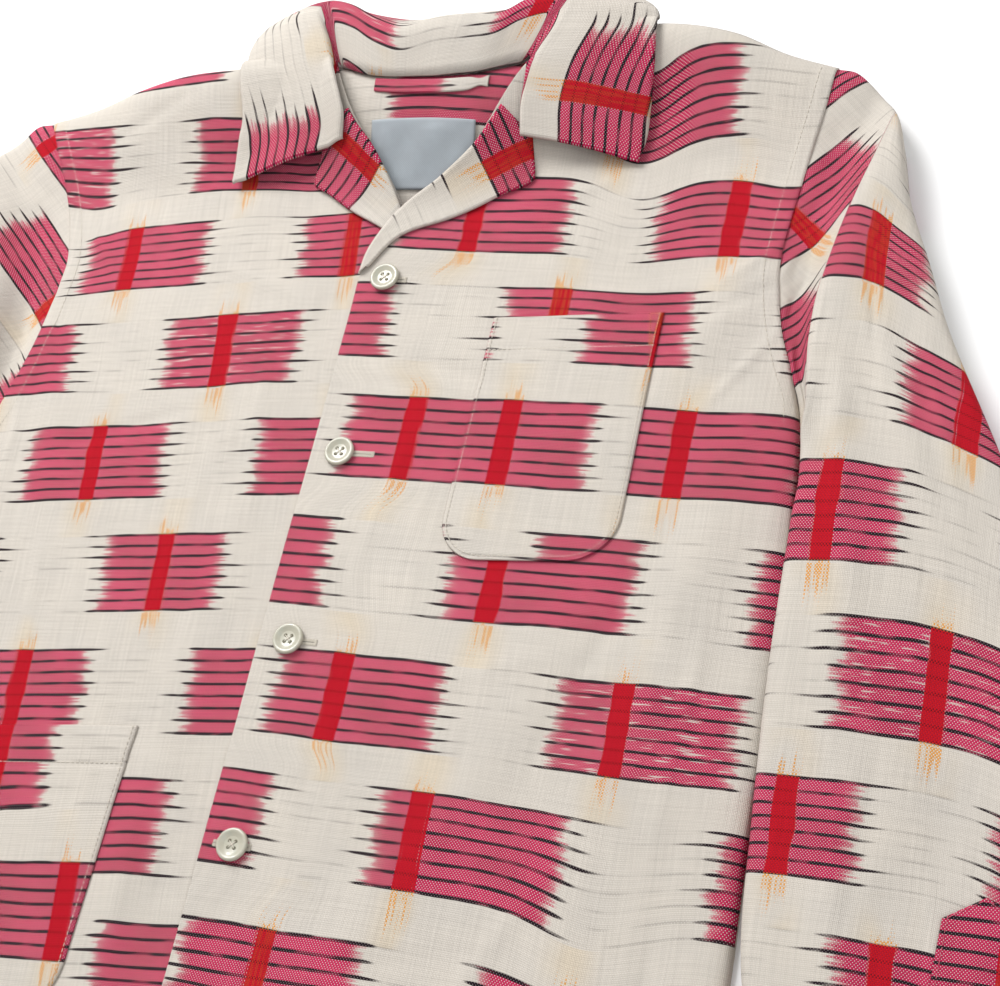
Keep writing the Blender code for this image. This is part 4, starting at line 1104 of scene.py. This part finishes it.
def hang_loop():
    """The hanging loop: a strip below the neck seam, pinched near its left end."""
    s = np.linspace(0, 1, 90)[None, :]
    t = np.linspace(0, 1, 14)[:, None]
    x = LOOP_ENDS[0] + (LOOP_ENDS[1] - LOOP_ENDS[0]) * s + 0 * t
    pinch = 1 - 0.45 * np.exp(-((s - 0.93) / 0.06) ** 2)
    y = spline(x, TOP_EDGE, 1) - 3.0 - LOOP_HEIGHT * (0.5 + (0.5 - t) * pinch)
    rim = LOOP_HEIGHT * (0.5 - np.abs(t - 0.5))
    z = back_height(x, y) + GAP + 1.0 + np.sin(np.pi * s) - rounded(rim, 0.6)
    cut = np.stack([x + 85, (t - 0.5) * LOOP_HEIGHT + 18 + 0 * x], -1)
    piece = shell("hang_loop_strip", np.stack([x, y, z], -1), cut, 0.9, CLOTHS["lapel"])
    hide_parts("hang_loop")
    return piece


# ---- cloth, built from the back up -------------------------------------------------------
back_piece = back()
left_piece = front("front_left_cloth", "front_left", FRONT_LEFT_ROWS, over_height, cut_left,
                   CLOTHS["left front"], flip=False)
right_piece = front("front_right_cloth", "front_right", FRONT_RIGHT_ROWS, under_height, cut_right,
                    CLOTHS["right front"], flip=True)
lapel_left = lapel("lapel_left_cloth", "lapel_left", LAPEL_LEFT_ROWS, left_lapel_height,
                   lambda x, y: turned_cut(x, y, (57, 86), -58, (32.7, 14)), flip=True)
lapel_right = lapel("lapel_right_cloth", "lapel_right", LAPEL_RIGHT_ROWS, right_lapel_height,
                    lambda x, y: turned_cut(x, y, (-35, 84), -127, (36, 35)), flip=False)
collar_piece, collar_edge = collar()
sleeve_left = sleeve("left", SLEEVE_LEFT_RINGS, ARMHOLE_LEFT, flip=True)
sleeve_right = sleeve("right", SLEEVE_RIGHT_RINGS, ARMHOLE_RIGHT, flip=False)
cuff_left = cuff("left", SLEEVE_LEFT_RINGS, flip=True)
cuff_right = cuff("right", SLEEVE_RIGHT_RINGS, flip=False)
placket_left, placket_left_edge = placket("left", SLEEVE_LEFT_RINGS, ARMHOLE_LEFT, mirror=False)
placket_right, placket_right_edge = placket("right", SLEEVE_RIGHT_RINGS, ARMHOLE_RIGHT, mirror=True)
chest_piece = pocket("chest_pocket_cloth", "chest_pocket", CHEST_POCKET, over_height,
                     lambda x, y: cut_left(x, y) - np.array((44.0, 0.0)), CLOTHS["chest pocket"])
hip_piece = pocket("hip_pocket_cloth", "hip_pocket", HIP_POCKET, under_height, cut_hip,
                   CLOTHS["hip pocket"])
label_piece = label_patch()
loop_piece = hang_loop()


# ---- buttons, their holes and the stitches -------------------------------------------------
# a button's turned face and underside: radius, height, as shares of its own
BUTTON_PROFILE = (
    (0.0, .55), (.30, .56), (.50, .61), (.66, .80), (.77, .96), (.86, 1.0), (.94, .93), (.985, .76),
    (1.0, .60),
)
BUTTON_UNDERSIDE = ((.99, .42), (.90, .18), (.66, .03), (.3, .0))
BUTTON_SIDES = 96
BUTTON_SIZE = (18.0, 3.2)                  # across, thickness
CUFF_BUTTON_SIZE = (14.0, 2.8)
CUFF_BUTTON_X = 380.0
HOLE_SHIFT = (1.5, 9.5, 5.0, -1.5, 2.0)    # each hole's middle, to the left of its button's


def button(name, node, x, y, z, diameter, thickness):
    """A turned shell button: a polar grid of a rim, a dish and four wells, closed beneath.

    The height at radius r follows the turned profile, less a steep-sided well at each hole.
    """
    radius = diameter / 2
    ring = np.concatenate([np.linspace(0.0, .5, 28)[1:], np.linspace(.52, 1.0, 18)])
    angle = np.arange(BUTTON_SIDES) * 2 * np.pi / BUTTON_SIDES
    r, a = np.meshgrid(ring, angle, indexing="ij")
    px, py = r * radius * np.cos(a), r * radius * np.sin(a)
    h = np.interp(r, *np.transpose(BUTTON_PROFILE)) * thickness
    hole = 1.8 * diameter / 18.0
    for sx, sy in ((1, 1), (1, -1), (-1, 1), (-1, -1)):
        gap = np.hypot(px - sx * hole, py - sy * hole)
        h = h - 1.5 * (1 - ease((gap - 0.62) / 0.42))
    top = np.stack([px, py, h], -1)
    lower = np.stack([np.stack([radius * q * np.cos(angle), radius * q * np.sin(angle),
                                np.full(BUTTON_SIDES, w * thickness)], -1) for q, w in BUTTON_UNDERSIDE])
    grid = np.concatenate([top, lower])
    rows, n = len(grid), BUTTON_SIDES
    points = np.concatenate([grid.reshape(-1, 3), [[0, 0, .55 * thickness], [0, 0, 0]]]) + (x, y, z)
    i, j = np.meshgrid(np.arange(rows - 1), np.arange(n), indexing="ij")
    k = (j + 1) % n
    faces = np.stack([i * n + j, (i + 1) * n + j, (i + 1) * n + k, i * n + k], -1).reshape(-1, 4)
    j = np.arange(n)
    k = (j + 1) % n
    crown = np.stack([np.full(n, rows * n), j, k], -1)
    foot = np.stack([np.full(n, rows * n + 1), (rows - 1) * n + k, (rows - 1) * n + j], -1)
    mesh = bpy.data.meshes.new(name)
    mesh.from_pydata(place(points).tolist(), [], faces.tolist() + crown.tolist() + foot.tolist())
    mesh.shade_smooth()
    piece = new_piece(name, mesh, SHELL)
    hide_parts(node)
    cross = np.array(((1, 1), (1, -1)), float) * hole
    centres = np.tile((x, y, z + 0.60 * thickness), (2, 1)) + np.array(((0, 0, 0), (0, 0, 0.25)))
    along = np.column_stack([cross, np.zeros(2)])
    knot = beads(name + "_thread", centres, along, lying(2), (hole * 2.0 * 1.42 + 0.4, 0.75, 0.75),
                 CREAM_THREAD)


def top_over(height, x, y, radius):
    """Highest point of a face under a round piece, all over its footprint."""
    angle = np.linspace(0, 2 * np.pi, 16)
    rings = np.array((0.0, 0.5, 1.0))[:, None] * radius
    return float(height(x + rings * np.cos(angle), y + rings * np.sin(angle)).max())


def buttonhole(name, x, y, height):
    """A worked hole about x and beneath its button: two rows of thread over its lips, a bar, and a dark row
    of painted shadow down the slit.
    """
    length, spread = 21.0, 1.0
    at = np.linspace(-length / 2, length / 2, 46) + x
    centres, along = [], []
    for lip in (-1, 1):
        py = y + lip * spread + 0 * at
        centres.append(np.stack([at, py, height(at, py) + 0.15], -1))
        along.append(np.tile((0.08, 1.0, 0.0), (len(at), 1)))
    bar_y = np.linspace(-1.6, 1.6, 7) + y
    bar_x = np.full(7, x + length / 2 + 0.5)
    centres.append(np.stack([bar_x, bar_y, height(bar_x, bar_y) + 0.25], -1))
    along.append(np.tile((1.0, 0.05, 0.0), (7, 1)))
    centres, along = np.concatenate(centres), np.concatenate(along)
    lips = beads(name, centres, along, lying(len(centres)), (1.9, 0.55, 0.6), CREAM_THREAD)
    # painted shadow: a dark row of beads down the slit stands in for the shade in the hole
    slit = np.linspace(-length / 2 + 0.5, length / 2 - 0.5, 14) + x
    slit_y = np.full(14, y)
    bottom = np.stack([slit, slit_y, height(slit, slit_y) + 0.02], -1)
    dark = beads(name + "_slit_shadow", bottom, np.tile((1.0, 0.0, 0.0), (14, 1)), lying(14), (2.4, 0.55, 0.2),
                 SLIT_SHADOW_PAINT)


def corner_stitches():
    """A narrow wedge of orange thread, down the chest pocket's hem at its outer top corner."""
    cx, top_y, width, _, _, slope = CHEST_POCKET
    outer = cx + width / 2
    corners = np.array(((outer - 4.6, -POCKET_HEM), (outer - 7.4, -1.2), (outer - 1.4, -1.2),
                        (outer - 3.6, -POCKET_HEM)))
    at = np.linspace(0, 1, 40)[:, None]
    line = np.concatenate([corners[k] + (corners[k + 1] - corners[k]) * at for k in range(3)])
    x, y = line[:, 0], line[:, 1] + top_y + slope * (line[:, 0] - cx)
    z = over_height(x, y) + LAYER + POCKET_ROOM + 0.55
    centres, along = stitch_row(np.stack([x, y, z], -1), 1.7)
    return beads("corner_stitches", centres, along, lying(len(centres)), (1.6, 0.5, 0.4), ORANGE_THREAD)


def topstitch(name, table, height, side):
    """Stitches along an armhole, 8.5 mm in from its seam on the front."""
    p = np.linspace(0.02, 0.98, 200)
    x, y = spline(p, table, 1), spline(p, table, 2)
    across = np.stack([-np.gradient(y), np.gradient(x)], -1)
    across = across / np.linalg.norm(across, axis=1, keepdims=True)
    x, y = x + across[:, 0] * 8.5 * side, y + across[:, 1] * 8.5 * side
    centres, along = stitch_row(np.stack([x, y, height(x, y) + 0.1], -1), 3.2)
    return beads(name, centres, along, lying(len(centres)), (2.3, 0.4, 0.35), CREAM_THREAD)


def edge_stitches(name, edge, finish):
    """Stitches along a line that a piece gave for its own edge."""
    centres, along = stitch_row(edge, 3.0)
    return beads(name, centres, along, lying(len(centres)), (2.2, 0.45, 0.4), finish)


for number, shift in enumerate(HOLE_SHIFT):
    button_y = -number * BUTTON_PITCH
    seat = top_over(over_height, 0.0, button_y, 9.0)
    button(f"shell_button_{number + 1}", f"button_{number + 1}", 0.0, button_y, seat + GAP, *BUTTON_SIZE)
    buttonhole(f"buttonhole_{number + 1}", shift, button_y, over_height)
for side, rows, hand in (("left", SLEEVE_LEFT_RINGS, 1), ("right", SLEEVE_RIGHT_RINGS, -1)):
    button_y = (rows[-1][2] + rows[-1][4] - CUFF_LENGTH) / 2
    button(f"shell_cuff_button_{side}", f"cuff_button_{side}", hand * CUFF_BUTTON_X, button_y,
           CUFF_CROWN + GAP, *CUFF_BUTTON_SIZE)

seams = [
    pocket_seams("chest_pocket_stitches", CHEST_POCKET, lambda x, y: over_height(x, y) + 0.3, CREAM_THREAD),
    pocket_seams("hip_pocket_stitches", HIP_POCKET, lambda x, y: under_height(x, y) + 0.3, CREAM_THREAD),
    corner_stitches(),
    topstitch("armhole_stitches_left", ARMHOLE_LEFT, over_height, 1),
    topstitch("armhole_stitches_right", ARMHOLE_RIGHT, under_height, -1),
    edge_stitches("placket_stitches_left", placket_left_edge, PINK_THREAD),
    edge_stitches("placket_stitches_right", placket_right_edge, PINK_THREAD),
    edge_stitches("collar_stitches", collar_edge + (0, 0, 0.1), CREAM_THREAD),
]

# ---- floor, lights and camera ----------------------------------------------------------
floor_mesh = bpy.data.meshes.new("floor")
floor_mesh.from_pydata([(x, y, -0.0004) for x, y in ((-4, -4), (4, -4), (4, 4), (-4, 4))], [], [(0, 1, 2, 3)])
floor_paint = Paint("pale floor", 0.7, Specular_IOR_Level=0.2)
floor_mesh.materials.append(floor_paint.colour((0.86, 0.86, 0.86, 1.0)))
floor = bpy.data.objects.new("floor", floor_mesh)
bpy.context.scene.collection.objects.link(floor)


def softbox(name, place_at, size, energy):
    """A square area light that faces the garment's middle."""
    data = bpy.data.lights.new(name, "AREA")
    data.shape = "SQUARE"
    data.size = size
    data.energy = energy
    lamp = bpy.data.objects.new(name, data)
    lamp.location = place_at
    lamp.rotation_euler = (-Vector(place_at)).to_track_quat("-Z", "Y").to_euler()
    bpy.context.scene.collection.objects.link(lamp)


softbox("window", (-1.05, 1.2, 1.5), 1.2, 62.0)
softbox("room", (1.3, -0.7, 1.9), 1.8, 18.0)
world = bpy.data.worlds.new("studio")
world.use_nodes = True
world.node_tree.nodes["Background"].inputs["Color"].default_value = (1.0, 1.0, 1.0, 1.0)
world.node_tree.nodes["Background"].inputs["Strength"].default_value = 0.50
bpy.context.scene.world = world

camera_data = bpy.data.cameras.new("camera")
camera_data.sensor_fit = "HORIZONTAL"
camera_data.sensor_width = 36.0
camera_data.lens = 64.8
camera = bpy.data.objects.new("camera", camera_data)
right_axis = Vector((0.93635, 0.2067, -0.28377))
up_axis = Vector((-0.06478, 0.89615, 0.439))
away_axis = Vector((0.34505, -0.39267, 0.8525))
turn = Matrix((right_axis, up_axis, away_axis)).transposed().to_4x4()
camera.matrix_world = Matrix.Translation((0.447116, -0.343396, 0.853325)) @ turn
bpy.context.scene.collection.objects.link(camera)
bpy.context.scene.camera = camera

bpy.context.scene.view_settings.view_transform = "Standard"
